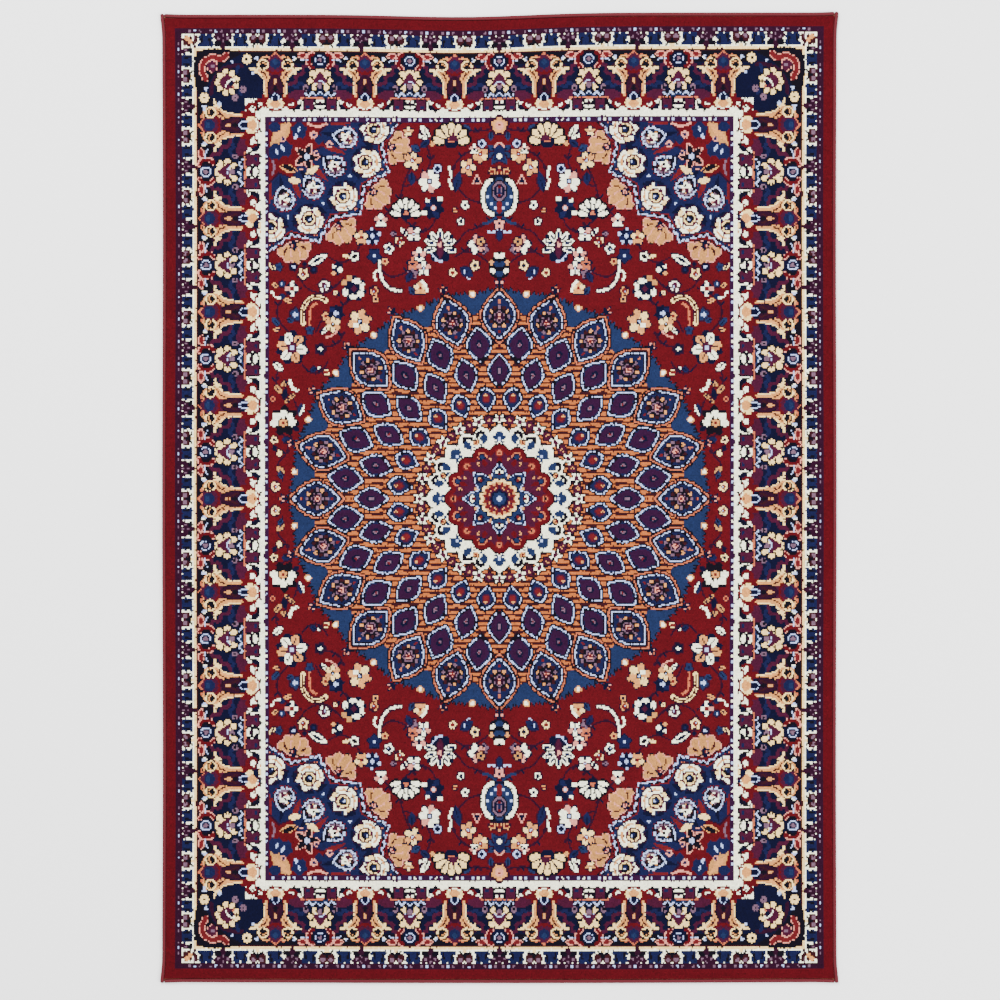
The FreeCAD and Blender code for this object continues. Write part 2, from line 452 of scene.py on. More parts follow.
def lyre_foot(place):
    """An ivory palmette under the lyre, on a red scroll."""
    for half in sides(place):
        thread(half, [(9, -3), (12.5, -1), (15.6, -3.4), (14, -6)], 2.4, "red")
        thread(half, [(11, -7), (15, -7.6), (19, -5)], 1.0, "black")
        leaf(half, (1, 0), (7.5, -6), 4.6, "red")
    leaf(place, (0, -3), (0, 4.6), 7, "navy")
    for half in sides(place):
        thread(half, [(2.2, -1), (2.4, 1.5), (0.5, 3.4)], 0.9, "ice")
        oval(half, 4, -3.4, 2.7, 2.7, "cream")
    oval(place, 0, -4.4, 3.8, 2.8, "beige")
    thread(place, [(-12, -6.6), (-7.5, -5.4), (-4, -7.6), (0, -8.4), (4, -7.6), (7.5, -5.4), (12, -6.6)],
           1.2, "brick")
    thread(place, [(-5, -8.6), (0, -9.4), (5, -8.6)], 0.9, "black")


def border_flower(place):
    for half in sides(place):
        thread(half, [(11, 8), (15, 11), (18, 8), (23, 10), (27, 6)], 2.6, "indigo")
        thread(half, [(9, 24), (13, 22.5), (13, 18), (18, 16), (18.5, 12), (24, 10)], 2.6, "burgundy")
        thread(half, [(18, 22), (22, 24), (24, 20)], 2.0, "plum")
        fill(half, [(11, 5), (18, 6), (26, 2), (24, -4), (15, -1), (11, 1)], "burgundy")
        thread(half, [(6, 22), (8.8, 25), (8.6, 30), (5.5, 32)], 3.6, "pink")
        thread(half, [(6, 22), (8.3, 25), (8.1, 29.5), (5.2, 31.6)], 2.2, "red")
        leaf(half, (9, 31), (18, 30.5), 5.4, "pink")
        leaf(half, (10, 31), (16.6, 30.5), 3.2, "brick")
        oval(half, 19.5, 28.5, 1.1, 2.0, "ivory")
        thread(half, [(9, 27.5), (12, 28), (16, 26.4)], 0.9, "ice")
        for x, y, wide, high in ((5.4, 17.8, 2.8, 2.2), (7.4, 12.2, 2.2, 2.4), (4.6, 8, 2.0, 2.6)):
            nested(half, x, y, (wide + 0.9, high + 0.9, "black"), (wide, high, "cream"))
        nested(half, 11, 7.2, (2.0, 2.4, "mauve"), (0.9, 1.2, "black"))
    nested(place, 0, 27.5, (5.0, 5.0, "navy"), (3.9, 3.9, "ice"), (2.9, 2.9, "navy"), (1.7, 1.9, "mauve"))
    fill(place, mirrored([(2.6, 20.5), (5, 14), (4, 10)]), "cream")
    fill(place, [(0, 20), (6.4, 11.2), (-6.4, 11.2)], "burgundy", smooth=False)
    thread(place, [(-4, 10.4), (0, 12.6), (4, 10.4)], 1.0, "ice")
    oval(place, 0, 9.2, 2.2, 2.0, "mauve")
    band_of_zigzag = [(-11, 3.6), (-8.5, 1.6), (-6, 4.4), (-3, 2), (0, 4.8), (3, 2), (6, 4.4), (8.5, 1.6),
                      (11, 3.6)]
    fill(place, [(-12, 0.4), (-12, 5), (12, 5), (12, 0.4)], "black", smooth=False)
    thread(place, band_of_zigzag, 1.1, "ice", smooth=False)
    thread(place, [(-6, 1), (0, 2.2), (6, 1)], 0.9, "blue")
    thread(place, [(-15, 0), (15, 0)], 1.0, "salmon", smooth=False)


def flower_foot(place):
    """Two burgundy flowers and a knot of black lines under the ivory flower."""
    for half in sides(place):
        lobed(half, 8.8, -4.4, 6.0, 2.2, 4, "black", turn=45)
        lobed(half, 8.6, -4.2, 5.2, 1.9, 4, "burgundy", turn=45)
        oval(half, 9.4, -6.2, 1.6, 1.0, "indigo")
        thread(half, [(12.6, -1), (14.6, -3), (15, -6)], 1.0, "black")
        leaf(half, (13.8, -3.6), (21.5, -8.8), 3.0, "black")
        oval(half, 17.4, -6.2, 2.6, 2.1, "navy")
        thread(half, [(0, -8), (3.6, -7), (4, -4.8), (0, -4.2), (3.8, -3), (3.4, -1)], 1.3, "black")
    oval(place, 0, -3, 1.4, 0.9, "plum")


def minor_rosette(place):
    for half in sides(place):
        fill(half, [(7.2, 0.6), (6.8, 2.4), (8.6, 4.4), (7.4, 7), (8.8, 10.4), (12.2, 10.4), (13.1, 8.4),
                    (14, 10.4), (17.4, 10.4), (19, 7), (17.6, 4.6), (19, 2.6), (17.8, 0.6)], "indigo",
             smooth=False)
        thread(half, [(9.6, 4), (10.4, 8)], 1.6, "black", smooth=False)
        thread(half, [(16.4, 3), (15.8, 6.6)], 1.6, "black", smooth=False)
        oval(half, 3.2, 6.4, 3.4, 3.7, "umber")
        oval(half, 3.0, 7.4, 1.9, 1.9, "mauve")
        leaf(half, (0.5, 4), (4.6, 1.4), 2.0, "black")
        oval(half, 13.1, 0.2, 1.8, 0.8, "ivory")
    oval(place, 0, 4.4, 1.5, 2.2, "black")
    oval(place, 0, 1, 2.0, 1.0, "cream")


def minor_star(place):
    lobed(place, 0, 5.2, 7.2, 2.4, 6, "plum")
    for half in sides(place):
        leaf(half, (1, 6), (7.6, 9.2), 4.4, "plum")
        leaf(half, (1, 4.5), (7.0, 1.2), 3.8, "black")
        oval(half, 3.6, 6.8, 1.0, 0.9, "mauve")
    oval(place, 0, 8.6, 1.0, 1.0, "mauve")
    oval(place, 0, 4.6, 0.8, 1.0, "mauve")


for place in along_border(ROSETTE_STEP, 0.5, CREAM_FILLET, (1, 0.9), OUTER_MINOR):
    minor_rosette(place)
for place in along_border(ROSETTE_STEP, 0, CREAM_FILLET, (1, 0.9), OUTER_MINOR):
    minor_star(place)
for place in along_border(LYRE_STEP, 0, INNER_MINOR, (1, 1.09), (INNER_MINOR[0] - 30, INNER_MINOR[1])):
    border_flower(place)
for place in along_border(LYRE_STEP, 0.5, INNER_MINOR, (1, 1.09), INNER_MINOR):
    lyre(place)
for place in along_border(LYRE_STEP, 0, INNER_MINOR, (1, 1.3), (IVORY_FILLET[0] - 20, IVORY_FILLET[1] - 20)):
    flower_foot(place)
for place in along_border(LYRE_STEP, 0.5, INNER_MINOR, (1, 1.3), IVORY_FILLET):
    lyre_foot(place)

# The corner: a nine-petalled ivory flower, a curled red leaf outside it and roundels on both arms
corner_square = [CREAM_FILLET, (CREAM_FILLET[0], RUG_EDGE[1]), RUG_EDGE, (RUG_EDGE[0], CREAM_FILLET[1])]
fill(DRAWING, corner_square, "ivory",
     smooth=False)
ringed_corner = spot(236.5, 326, 45)
lobed(ringed_corner, 0, 0, 4.6, 1, 6, "umber")
for half in sides(ringed_corner):
    oval(half, 1.8, 1, 1.7, 2.0, "beige")
fill(DRAWING, [(193, 285), (193, 318), (229, 318), (229, 285)], "navy", smooth=False)
fill(DRAWING, [(208, 310), (218, 300), (229, 288), (229, 318), (196, 318)], "black")
thread(DRAWING, [(195, 308), (203, 308), (211, 305), (217, 297), (219, 288)], 3.0, "plum")
thread(DRAWING, [(196, 288), (200, 300), (198, 308)], 2.6, "indigo")
for petal in range(9):
    turn = math.radians(petal * 40 + 10)
    at = (206.5 + 7 * math.sin(turn), 296.5 + 7 * math.cos(turn))
    oval(DRAWING, *at, 3.2, 3.2, "black")
    oval(DRAWING, *at, 2.4, 2.7, "cream", turn=-petal * 40)
oval(DRAWING, 206.5, 296.5, 5.4, 5.4, "burgundy")
thread(DRAWING, [(208, 293), (205, 298), (201, 298)], 1.3, "ivory")
oval(DRAWING, 203.4, 295.4, 1.8, 2.2, "navy")
oval(DRAWING, 202, 293, 1.3, 1.3, "salmon")
thread(DRAWING, [(207, 316), (211, 313), (218, 314.4), (224, 311), (225.6, 305), (223, 299)], 5.0, "pink")
thread(DRAWING, [(207, 316), (211, 313), (218, 314.4), (224, 311), (225.6, 305), (223, 299)], 3.4, "brick")
lobed(DRAWING, 218, 308, 4.8, 1, 6, "pink")
oval(DRAWING, 218, 308, 3.7, 3.7, "burgundy")
oval(DRAWING, 217.6, 308, 1.7, 1.4, "mauve")
for u, v, radius in ((191.5, 313, 3.6), (224, 285.5, 3.6), (194.5, 291.5, 2.4), (200.5, 285.5, 2.4)):
    nested(DRAWING, u, v, (radius, radius, "cream" if radius > 3 else "mauve"),
           (radius * 0.3, radius * 0.3, "black"))
for u, v in ((203, 311), (222.5, 292), (184.5, 313.5), (224, 277.3), (212.6, 281), (187, 303)):
    oval(DRAWING, u, v, 1.2, 1.6, "ice")
band(OUTER_MINOR, OUTER_GUARD, "plum")
band(OUTER_GUARD, RUG_EDGE, "edge_red")
guard_ticks((243.5, 333.2), OUTER_MINOR, "ice", "mauve", 7)

# ---------------------------------------------------------------------------------------------------------
# The spandrels: a quarter of a round rosette fills each corner of the field. Ivory eye flowers and round
# serrated cells stand on navy between its pointed lobes, with a small red garden in the very corner.
# ---------------------------------------------------------------------------------------------------------
SPANDREL_TIP, SPANDREL_NOTCH = 312, 37
SPANDREL_LOBES = 16
EYES_AT, CELLS_AT, FANS_AT = 248, 188, 300     # mm from the field's corner
GARDEN = 128


def corner_spot(radius, angle):
    """A place so many mm from the field's corner, its y axis pointing away from the corner."""
    place = round_spot(radius, 270 - angle)
    place[:, 2] += FIELD
    return place


def quarter_rosette(radius, depth, yarn, teeth=0.0):
    """A lobed disc about the field's corner, its edge cut into small teeth."""
    x, y = (FIELD[0] - paper_u) * KNOT, (FIELD[1] - paper_v) * ROW
    angle = np.arctan2(y, x)
    swell = np.abs((angle * SPANDREL_LOBES / math.tau + 0.5) % 1 - 0.5) * 2
    edge = radius - depth * swell ** 0.7 + teeth * np.sign(np.sin(angle * 104))
    paper[(x > 0) & (y > 0) & (np.hypot(x, y) < edge)] = YARN_NUMBERS[yarn]


def eye_flower(place):
    """A ragged ivory bowl about a dark eye, cupped in blue leaves."""
    for half in sides(place):
        leaf(half, (4, -36), (44, 4), 20, "navy")
        leaf(half, (28, 4), (8, 48), 14, "blue")
    for grow, yarn in ((4, "plum"), (0, "ivory")):
        lobed(place, 0, 3, 34 + grow, 8, 7, yarn, turn=180)
        fill(place, [(-30 - grow, 4), (-24, 26 + grow), (0, 37 + grow), (24, 26 + grow), (30 + grow, 4)],
             yarn)
    for half in sides(place):
        thread(half, [(16, -18), (30, -27)], 1.5, "indigo", smooth=False)
        thread(half, [(22, 4), (36, 2)], 1.4, "plum", smooth=False)
        thread(half, [(9, 22), (15, 36)], 1.4, "indigo", smooth=False)
        thread(half, [(24, 12), (17, 22), (5, 27)], 1.4, "beige")
        oval(half, 24, -4, 5, 9, "cream")
    nested(place, 0, 0, (19, 19, "burgundy"), (15, 15, "cream"), (10.5, 10.5, "black"))
    oval(place, -1, 1, 5.5, 5.5, "indigo")
    oval(place, 2, 3, 3, 3, "ice")


def serrated_cell(place):
    """A round cell, drawn out to a point towards the corner, in a thin serrated outline."""
    for radius, yarn in ((30, "brick"), (28.4, "black"), (26.4, "ice"), (21.8, "black")):
        lobed(place, 0, 0, radius, 3, 13, yarn)
        if yarn != "brick":
            leaf(place, (0, 4), (0, -radius * 1.35), radius * 1.2, yarn)
    for step in range(10):
        turn = math.radians(step * 36)
        yarn = ("mauve", "umber", "ice", "indigo", "beige")[step % 5]
        oval(place, 15 * math.sin(turn), 15 * math.cos(turn), 3.4, 3.4, yarn)
    lobed(place, 0, -1, 14, 4, 5, "ivory")
    thread(place, [(-16, -4), (-12, 12), (4, 17)], 1.3, "mauve")
    oval(place, -5, 4, 5, 6, "burgundy")
    oval(place, 3, 5, 3.4, 4, "pink")
    oval(place, 4, -4, 3, 3, "black")


def fan_palmette(place):
    for grow, yarn in ((4.0, "black"), (2.6, "pink"), (0, "tan")):
        for half in sides(place):
            oval(half, 0, 30, 10 + grow, 12 + grow, yarn)
            oval(half, 19, 23, 9.5 + grow, 11 + grow, yarn)
            oval(half, 31, 7, 8.5 + grow, 9.5 + grow, yarn)
        oval(place, 0, 6, 27 + grow, 16 + grow, yarn)
    for half in sides(place):
        thread(half, [(8, 4), (11, 14), (10, 24)], 0.9, "pink")
        thread(half, [(17, 2), (24, 8), (26, 15)], 0.9, "umber")
    lobed(place, 0, -2, 12, 4, 6, "navy")
    nested(place, 0, -1, (6, 5, "pink"), (2.6, 2.6, "brick"))


quarter_rosette(SPANDREL_TIP + 5, SPANDREL_NOTCH, "black", 2)
quarter_rosette(SPANDREL_TIP + 3, SPANDREL_NOTCH, "brick", 2)
quarter_rosette(SPANDREL_TIP, SPANDREL_NOTCH, "ice", 2)
quarter_rosette(SPANDREL_TIP - 5, SPANDREL_NOTCH, "black", 2)
quarter_rosette(SPANDREL_TIP - 9, SPANDREL_NOTCH, "brick")
quarter_rosette(SPANDREL_TIP - 13, SPANDREL_NOTCH, "indigo")
for step in range(5):
    place = corner_spot(EYES_AT + 34, step * 22.5)
    leaf(place, (-14, -20), (0, 20), 12, "indigo")
    leaf(place, (14, -20), (0, 20), 12, "indigo")
    oval(place, 0, 4, 4.5, 8, "salmon")
for step in range(9):
    leaf(corner_spot(160, step * 11.25), (0, -34), (0, 40), 13, "navy" if step % 2 else "brick")
quarter_rosette(GARDEN + 22, 26, "plum")
quarter_rosette(GARDEN + 16, 24, "red")
for step in range(4):
    serrated_cell(corner_spot(CELLS_AT, step * 22.5 + 11.25))
    speck = corner_spot(228, step * 22.5 + 11.25)
    leaf(speck, (0, -8), (0, 9), 7, "blue")
    oval(speck, 0, 2, 3.2, 4.6, "ice")
    fan_palmette(corner_spot(FANS_AT, step * 22.5 + 11.25))
for step in range(5):
    eye_flower(corner_spot(EYES_AT, step * 22.5 + (4, 0, 0, 0, -1)[step]))
# The garden: a star flower among leaves, with tan and blue leaves against the corner
leaf(DRAWING, (158, 269), (174, 250), 11, "tan")
leaf(DRAWING, (159, 268), (173, 254), 5, "beige")
oval(DRAWING, 170.5, 264.5, 4.8, 3.6, "indigo")
for u, v in ((152, 262), (163, 249), (170, 247)):
    lobed(DRAWING, u, v, 6.6, 1.6, 5, "indigo")
for u, v, turn in ((152, 263, 20), (154.5, 257.6, 10), (164.5, 249.5, -30), (169, 247, -20)):
    oval(DRAWING, u, v, 1.2, 2.3, "ice", turn=turn)
for radius, yarn in ((10.4, "pink"), (8.8, "black")):
    lobed(DRAWING, 146.5, 243.5, radius, 5.4, 5, yarn, turn=20)
oval(DRAWING, 146, 243.5, 2.0, 2.2, "ice")
leaf(DRAWING, (167, 237), (153, 233), 6, "beige")
leaf(DRAWING, (165, 237), (155, 234), 4, "black")
leaf(DRAWING, (147, 231), (137, 237), 5.5, "cream")
leaf(DRAWING, (161, 227), (150, 226), 4.6, "cream")
for u, v, radius in ((139, 246, 2.6), (141, 259, 3.4), (129, 252, 2.8), (150.5, 236, 2.6), (164, 256, 2.4)):
    lobed(DRAWING, u, v, radius, 0.8, 5, "pink")
    oval(DRAWING, u, v, radius * 0.45, radius * 0.45, "indigo")
oval(DRAWING, 137, 255.5, 3.0, 3.4, "indigo")
thread(DRAWING, [(131, 267), (137, 265), (142, 265.6), (145, 267)], 1.7, "pink")
thread(DRAWING, [(172, 240), (171, 236), (172.5, 230)], 1.5, "mauve")
band(FIELD, INNER_GUARD, "aubergine")
band(INNER_GUARD, IVORY_FILLET, "ivory")
guard_ticks((177.0, 270.3), FIELD, "ivory", "ice", 0)

# ---------------------------------------------------------------------------------------------------------
# The field: flowers, buds and curling leaves strewn on red and tied together by thin dark vines. A blue vase
# palmette stands on the rug's length above the medallion, and a large lily turns in towards its side.
# ---------------------------------------------------------------------------------------------------------
def bloom(u, v, radius, petals, petal, heart, turn=0.0):
    """A small flower on a dark ground: petals apart, every third one shaded, and a heart with a speck."""
    place = spot(u, v, turn, radius * 1.12)
    lobed(place, 0, 0, 1.2, 0.3, petals, "navy" if radius > 3 else "plum")
    shaded = {"ivory": "pink", "cream": "beige", "beige": "cream", "navy": "indigo"}.get(petal, petal)
    for step in range(petals):
        away = math.tau * step / petals
        yarn = shaded if step % 3 == 1 else petal
        oval(place, 0.62 * math.sin(away), 0.62 * math.cos(away), 0.34, 0.44, yarn,
             turn=-math.degrees(away))
    if radius > 3:
        nested(place, 0, 0, (0.3, 0.3, heart), (0.13, 0.13, "ice"))


def edged_leaf(base, tip, width, yarn, edge="plum"):
    """A leaf with a dark edge and a dark vein."""
    leaf(DRAWING, base, tip, width + 1.8, edge)
    leaf(DRAWING, base, tip, width, yarn)
    base, tip = np.array(base, float), np.array(tip, float)
    thread(DRAWING, [base, base * 0.4 + tip * 0.6], 0.9, "navy", smooth=False)


def ringed(u, v, radius, rim, heart):
    """A round bud: a ring of small petals about a dark heart."""
    place = spot(u, v, u * 7, radius)
    lobed(place, 0, 0, 1.25, 0.2, 5, "plum")
    lobed(place, 0, 0, 1.0, 0.26, 5, rim)
    oval(place, 0, 0, 0.46, 0.46, heart)
    if radius > 3.4:
        oval(place, 0.1, 0.1, 0.16, 0.16, "ice")


def shell(u, v, size, turn, petal):
    """A fan of petals on a dark cup."""
    place = spot(u, v, turn, size)
    for grow, yarn in ((1.1, "black"), (0, petal)):
        for step in range(-3, 4):
            angle = math.radians(step * 27)
            oval(place, 6.2 * math.sin(angle), 6.2 * math.cos(angle), 2.0 + grow, 3.2 + grow, yarn,
                 turn=-step * 27)
    for step in range(-3, 3):
        angle = math.radians(step * 27 + 13.5)
        sin, cos = math.sin(angle), math.cos(angle)
        thread(place, [(2 * sin, 2 * cos), (8.4 * sin, 8.4 * cos)], 1.0, "navy", smooth=False)
    oval(place, 0, 0, 3.6, 3.0, "navy")
    oval(place, 0, 1, 1.6, 1.4, "salmon")


vines = [
    [(0, 205), (7, 198), (16, 193), (25, 190), (34, 180)],
    [(18, 250), (28, 244), (36, 234), (33, 224), (24, 214), (12, 210)],
    [(56, 252), (52, 242), (56, 232), (64, 226), (72, 222)],
    [(74, 200), (66, 194), (58, 190), (50, 196), (48, 206)],
    [(90, 196), (84, 205), (76, 214), (72, 226), (66, 238)],
    [(34, 172), (26, 176), (18, 174), (8, 168), (0, 158)],
    [(56, 178), (62, 170), (70, 162), (82, 158), (92, 165)],
    [(100, 190), (106, 180), (112, 172), (120, 168), (130, 172)],
    [(118, 158), (126, 150), (134, 146), (146, 150), (154, 160)],
    [(110, 146), (118, 138), (126, 134), (134, 128), (140, 118)],
    [(150, 150), (160, 146), (168, 138), (168, 128), (160, 118)],
    [(150, 96), (144, 90), (136, 90), (130, 98)],
    [(166, 94), (170, 84), (164, 76), (156, 70), (152, 60)],
    [(170, 48), (160, 42), (162, 32), (168, 24), (164, 12)],
    [(126, 122), (120, 116), (124, 110), (134, 108)],
    [(40, 252), (30, 262), (16, 262), (4, 264)],
]
for vine in vines:
    thread(DRAWING, vine, 1.3, "plum")
    for at in (1, 2):
        bend = np.array(vine[at], float)
        leaf(DRAWING, bend, bend + (3.4, 2.6), 2.2, "navy")
        leaf(DRAWING, bend, bend + (-3.2, 2.8), 2.2, "plum")

# Above the medallion, on the rug's length
ringed(0, 266, 6.6, "beige", "red")
oval(DRAWING, 0, 266, 3.0, 3.2, "pink")
edged_leaf((6.5, 262), (6.5, 255), 4, "blue")
for tip in ((9, 252), (10, 244), (6, 238)):
    edged_leaf((0, 246), tip, 4.4, "blue")
oval(DRAWING, 0, 246, 4.4, 6.4, "indigo")
oval(DRAWING, 0, 244, 1.6, 2.6, "ivory")
thread(DRAWING, [(-4, 250), (0, 254), (4, 250)], 1.2, "pink")
for u, v, radius in ((0, 233.5, 3.4), (5.4, 233, 3.0)):
    ringed(u, v, radius, "beige", "brick")
fill(DRAWING, mirrored([(0, 231), (8, 226), (12, 217), (9, 206), (0, 201)]), "navy")
fill(DRAWING, mirrored([(0, 229), (7, 224), (10.5, 216), (8, 207), (0, 203)]), "blue")
for half_u, half_v, yarn in ((6.4, 8, "black"), (5.4, 7, "mauve"), (4.0, 5.6, "navy"), (2.4, 3.8, "mauve"),
                             (1.4, 2.6, "indigo")):
    oval(DRAWING, 0, 219, half_u, half_v, yarn)
for u, v in ((6, 210), (9, 215), (3, 207)):
    oval(DRAWING, u, v, 0.8, 0.8, "ice")
leaf(DRAWING, (0, 202), (0, 213), 5, "brick")
for points, width, yarn in (
        ([(5, 228), (10, 224), (12.6, 217), (12.4, 211), (9.4, 205), (5, 202.4)], 4.4, "black"),
        ([(6, 227), (10, 224), (12.6, 217), (12.4, 211), (9.4, 205), (5, 202.4)], 3.0, "ivory"),
        ([(3, 200), (7, 197), (12, 196)], 2.2, "blue"),
        ([(0, 194), (4, 190), (9, 190)], 1.4, "ice")):
    thread(DRAWING, points, width, yarn)
bloom(0, 196, 4.0, 5, "pink", "navy")
edged_leaf((0, 183), (0, 192), 5, "indigo")
fill(DRAWING, [(0, 176), (4, 172), (8, 168), (7, 160), (0, 156), (-7, 160)], "black")
for u, v, yarn in ((2, 173, "ivory"), (5.6, 168, "beige"), (2, 167, "blue"), (5, 162.4, "ivory"),
                   (1, 160, "blue")):
    oval(DRAWING, u, v, 2.2, 1.8, yarn, turn=40)
# The head of the field, from the middle outwards
bloom(14.5, 245.5, 5.6, 6, "beige", "brick")
bloom(19, 249, 3.2, 5, "ivory", "navy")
ringed(13.5, 253, 3.4, "ice", "navy")
edged_leaf((21, 262), (29, 266), 5, "blue")
shell(36.5, 254, 1.5, 0, "cream")
fill(DRAWING, [(35, 262), (39, 255), (31, 255)], "burgundy", smooth=False)
bloom(57, 260, 4.2, 5, "ivory", "navy", 30)
edged_leaf((53, 257), (60, 267), 5, "ivory")
edged_leaf((60, 250), (53, 256), 5, "indigo")
oval(DRAWING, 51, 253, 2.4, 1.9, "beige")
bloom(69, 261.5, 3.2, 5, "cream", "brick")
bloom(24, 236, 5.4, 5, "beige", "brick", 20)
edged_leaf((34, 218), (30, 233), 6, "indigo")
thread(DRAWING, [(38, 236), (36.6, 231), (38, 226), (36, 221)], 2.0, "ivory", smooth=False)
fill(DRAWING, [(13, 224), (17, 232), (21, 224)], "pink", smooth=False)
fill(DRAWING, [(14.5, 225), (17, 230), (19.5, 225)], "navy", smooth=False)
ringed(47, 235, 3.6, "ice", "navy")
bloom(53, 226, 7, 7, "ivory", "navy", 10)
bloom(66, 241, 6, 5, "cream", "brick", 15)
edged_leaf((60, 247), (67, 252), 5, "blue")
edged_leaf((67, 233), (66, 223), 5.5, "indigo")
shell(71, 202, 1.25, 0, "ivory")
bloom(50, 207, 6.4, 7, "navy", "pink")
for u, v in ((54.5, 212.5), (45, 213.5), (57, 203.5)):
    oval(DRAWING, u, v, 2.2, 1.9, "ivory")
ringed(26, 209, 3.3, "ivory", "navy")
ringed(29.5, 197.5, 3.0, "ivory", "navy")
ringed(33.5, 205.5, 2.2, "beige", "brick")
bloom(90, 198, 4.4, 5, "ivory", "navy")
bloom(65, 188.5, 5, 4, "ivory", "brick", 45)
ringed(76, 183, 3.6, "cream", "brick")
edged_leaf((70, 187), (75, 193), 3.6, "ivory")
edged_leaf((78, 190), (83, 187), 3.6, "mauve")
# Vase palmette beside the length
lobed(DRAWING, 45, 180, 12.4, 3, 7, "navy")
for step in range(-3, 4):
    turn = math.radians(step * 34)
    for half_u, half_v, yarn in ((2.9, 5.4, "black"), (2.1, 4.6, "ivory"), (0.9, 3.0, "indigo")):
        oval(DRAWING, 45 + 8 * math.sin(turn), 179 + 8.4 * math.cos(turn), half_u, half_v, yarn,
             turn=-step * 34)
edged_leaf((45, 170), (45, 187), 5, "burgundy")
oval(DRAWING, 45, 181, 1.8, 2.4, "pink")
thread(DRAWING, [(51, 174), (48, 170), (44, 169)], 1.6, "ice")
bloom(12, 178, 3.6, 5, "mauve", "navy", 30)
bloom(17, 181, 6, 5, "ivory", "navy", 60)
ringed(14, 183, 3.4, "tan", "navy")
for u, v, radius, yarn in ((61, 173, 4.8, "ivory"), (66, 167, 4.0, "salmon"), (57.5, 164, 4.6, "ivory"),
                           (66, 160, 3.4, "mauve")):
    bloom(u, v, radius, 5, yarn, "navy")
edged_leaf((66, 162), (71, 154), 5, "indigo")
edged_leaf((30, 165), (20, 158), 7, "indigo")
thread(DRAWING, [(22, 156), (25, 158), (27, 163)], 1.2, "ice")
ringed(18.5, 166, 3.8, "cream", "navy")
ringed(35.5, 161, 3.2, "cream", "brick")
bloom(60, 150, 4.4, 5, "beige", "brick")
thread(DRAWING, [(55, 148), (56, 152), (59, 155)], 1.8, "ivory")
edged_leaf((64, 145), (69, 151), 4, "blue")
# The shoulder of the field, between the medallion and the spandrel
for width, yarn in ((4.2, "plum"), (2.1, "ivory")):
    thread(DRAWING, [(91, 170), (90, 159), (84, 150), (75, 148)], width, yarn)
ringed(84, 178, 4, "ivory", "navy")
ringed(87, 169, 2.8, "beige", "brick")
bloom(96.5, 187, 5, 6, "navy", "ice")
for step in range(5):
    turn = math.radians(step * 72)
    oval(DRAWING, 96.5 + 5.4 * math.sin(turn), 187 + 5 * math.cos(turn), 1.5, 1.5, "ice")
bloom(105, 186, 4.6, 5, "beige", "brick")
bloom(95, 173, 4.6, 5, "indigo", "ice", 36)
thread(DRAWING, [(92.5, 163), (95, 160), (94, 156)], 2.0, "ivory")
ringed(110, 172.5, 4, "ivory", "black")
leaf(DRAWING, (113, 172), (120, 173), 2.6, "cream")
lobed(DRAWING, 123, 164, 5, 1.4, 6, "navy")
for u, v, yarn in ((126, 165.5, "ivory"), (121, 163, "ivory"), (126, 160.5, "beige")):
    oval(DRAWING, u, v, 1.9, 1.7, yarn)
edged_leaf((146, 165.5), (130, 174.5), 5.4, "ivory", "navy")
leaf(DRAWING, (143, 167.5), (134, 172.5), 2.2, "navy")
for u, v, radius, rim, heart in (
        (149, 160, 4.4, "cream", "brick"), (148, 167, 1.6, "ice", "navy"),
        (141, 163, 2.8, "navy", "indigo"), (167.5, 165, 3, "blue", "indigo"),
        (156.5, 165, 3, "navy", "ice"), (165, 153, 2.6, "blue", "ice"),
        (133, 151.5, 4.6, "ivory", "burgundy"), (144, 120, 3.2, "blue", "indigo"),
        (155, 131, 4.6, "blue", "ice"), (132, 130, 3.2, "beige", "brick"),
        (136, 106.5, 4.0, "navy", "ivory"), (95, 148, 3.6, "beige", "brick"),
        (94, 142, 2.6, "beige", "navy"), (170, 8.5, 3.8, "cream", "brick"),
        (171, 42, 3.0, "cream", "navy"), (131.5, 90, 2.6, "cream", "brick"),
        (172, 71, 2.2, "salmon", "brick")):
    ringed(u, v, radius, rim, heart)
bloom(157.5, 149.5, 4.6, 4, "ivory", "brick")
for base, tip, width, yarn in (
        ((170, 162), (175, 168), 3.2, "cream"), ((162, 144), (168, 144), 3.6, "indigo"),
        ((157, 140), (164, 142), 3.4, "beige"), ((168, 150), (173, 154), 3, "beige"),
        ((121, 144), (127, 148), 3.6, "cream"), ((162, 128), (156, 126), 3.4, "blue"),
        ((167, 123), (173, 129), 3.8, "blue"), ((166, 121), (172, 120), 3, "beige"),
        ((137, 118), (130, 121), 4, "ivory"), ((172, 97.5), (164, 90.5), 5, "ivory"),
        ((138, 93), (144, 91), 4, "indigo"), ((135, 92), (138, 93.5), 2.6, "ivory"),
        ((160, 84), (166, 80), 4, "tan"), ((171, 81), (165, 75), 4, "tan"),
        ((163, 69), (163, 79), 4, "navy"), ((155, 75), (160, 71), 3, "tan"),
        ((159, 72), (163, 68), 3, "tan"), ((152, 58), (150, 68), 4.6, "indigo"),
        ((159, 42), (165, 42), 5, "indigo"), ((167, 29), (167, 36), 4.4, "cream"),
        ((169, 34), (172, 38), 3, "navy"), ((163, 17), (169, 23), 4.6, "tan"),
        ((164, 14), (168, 19), 3.4, "blue")):
    edged_leaf(base, tip, width, yarn)
thread(DRAWING, [(173, 147), (170, 143.6), (167, 143)], 2.0, "ivory")
thread(DRAWING, [(159, 83.6), (157, 78.4), (153, 77)], 2.4, "ivory")
thread(DRAWING, [(151.6, 59.6), (149.4, 62.6), (148.4, 66)], 1.8, "ivory")
lobed(DRAWING, 110.5, 149.5, 10, 2.6, 7, "navy")
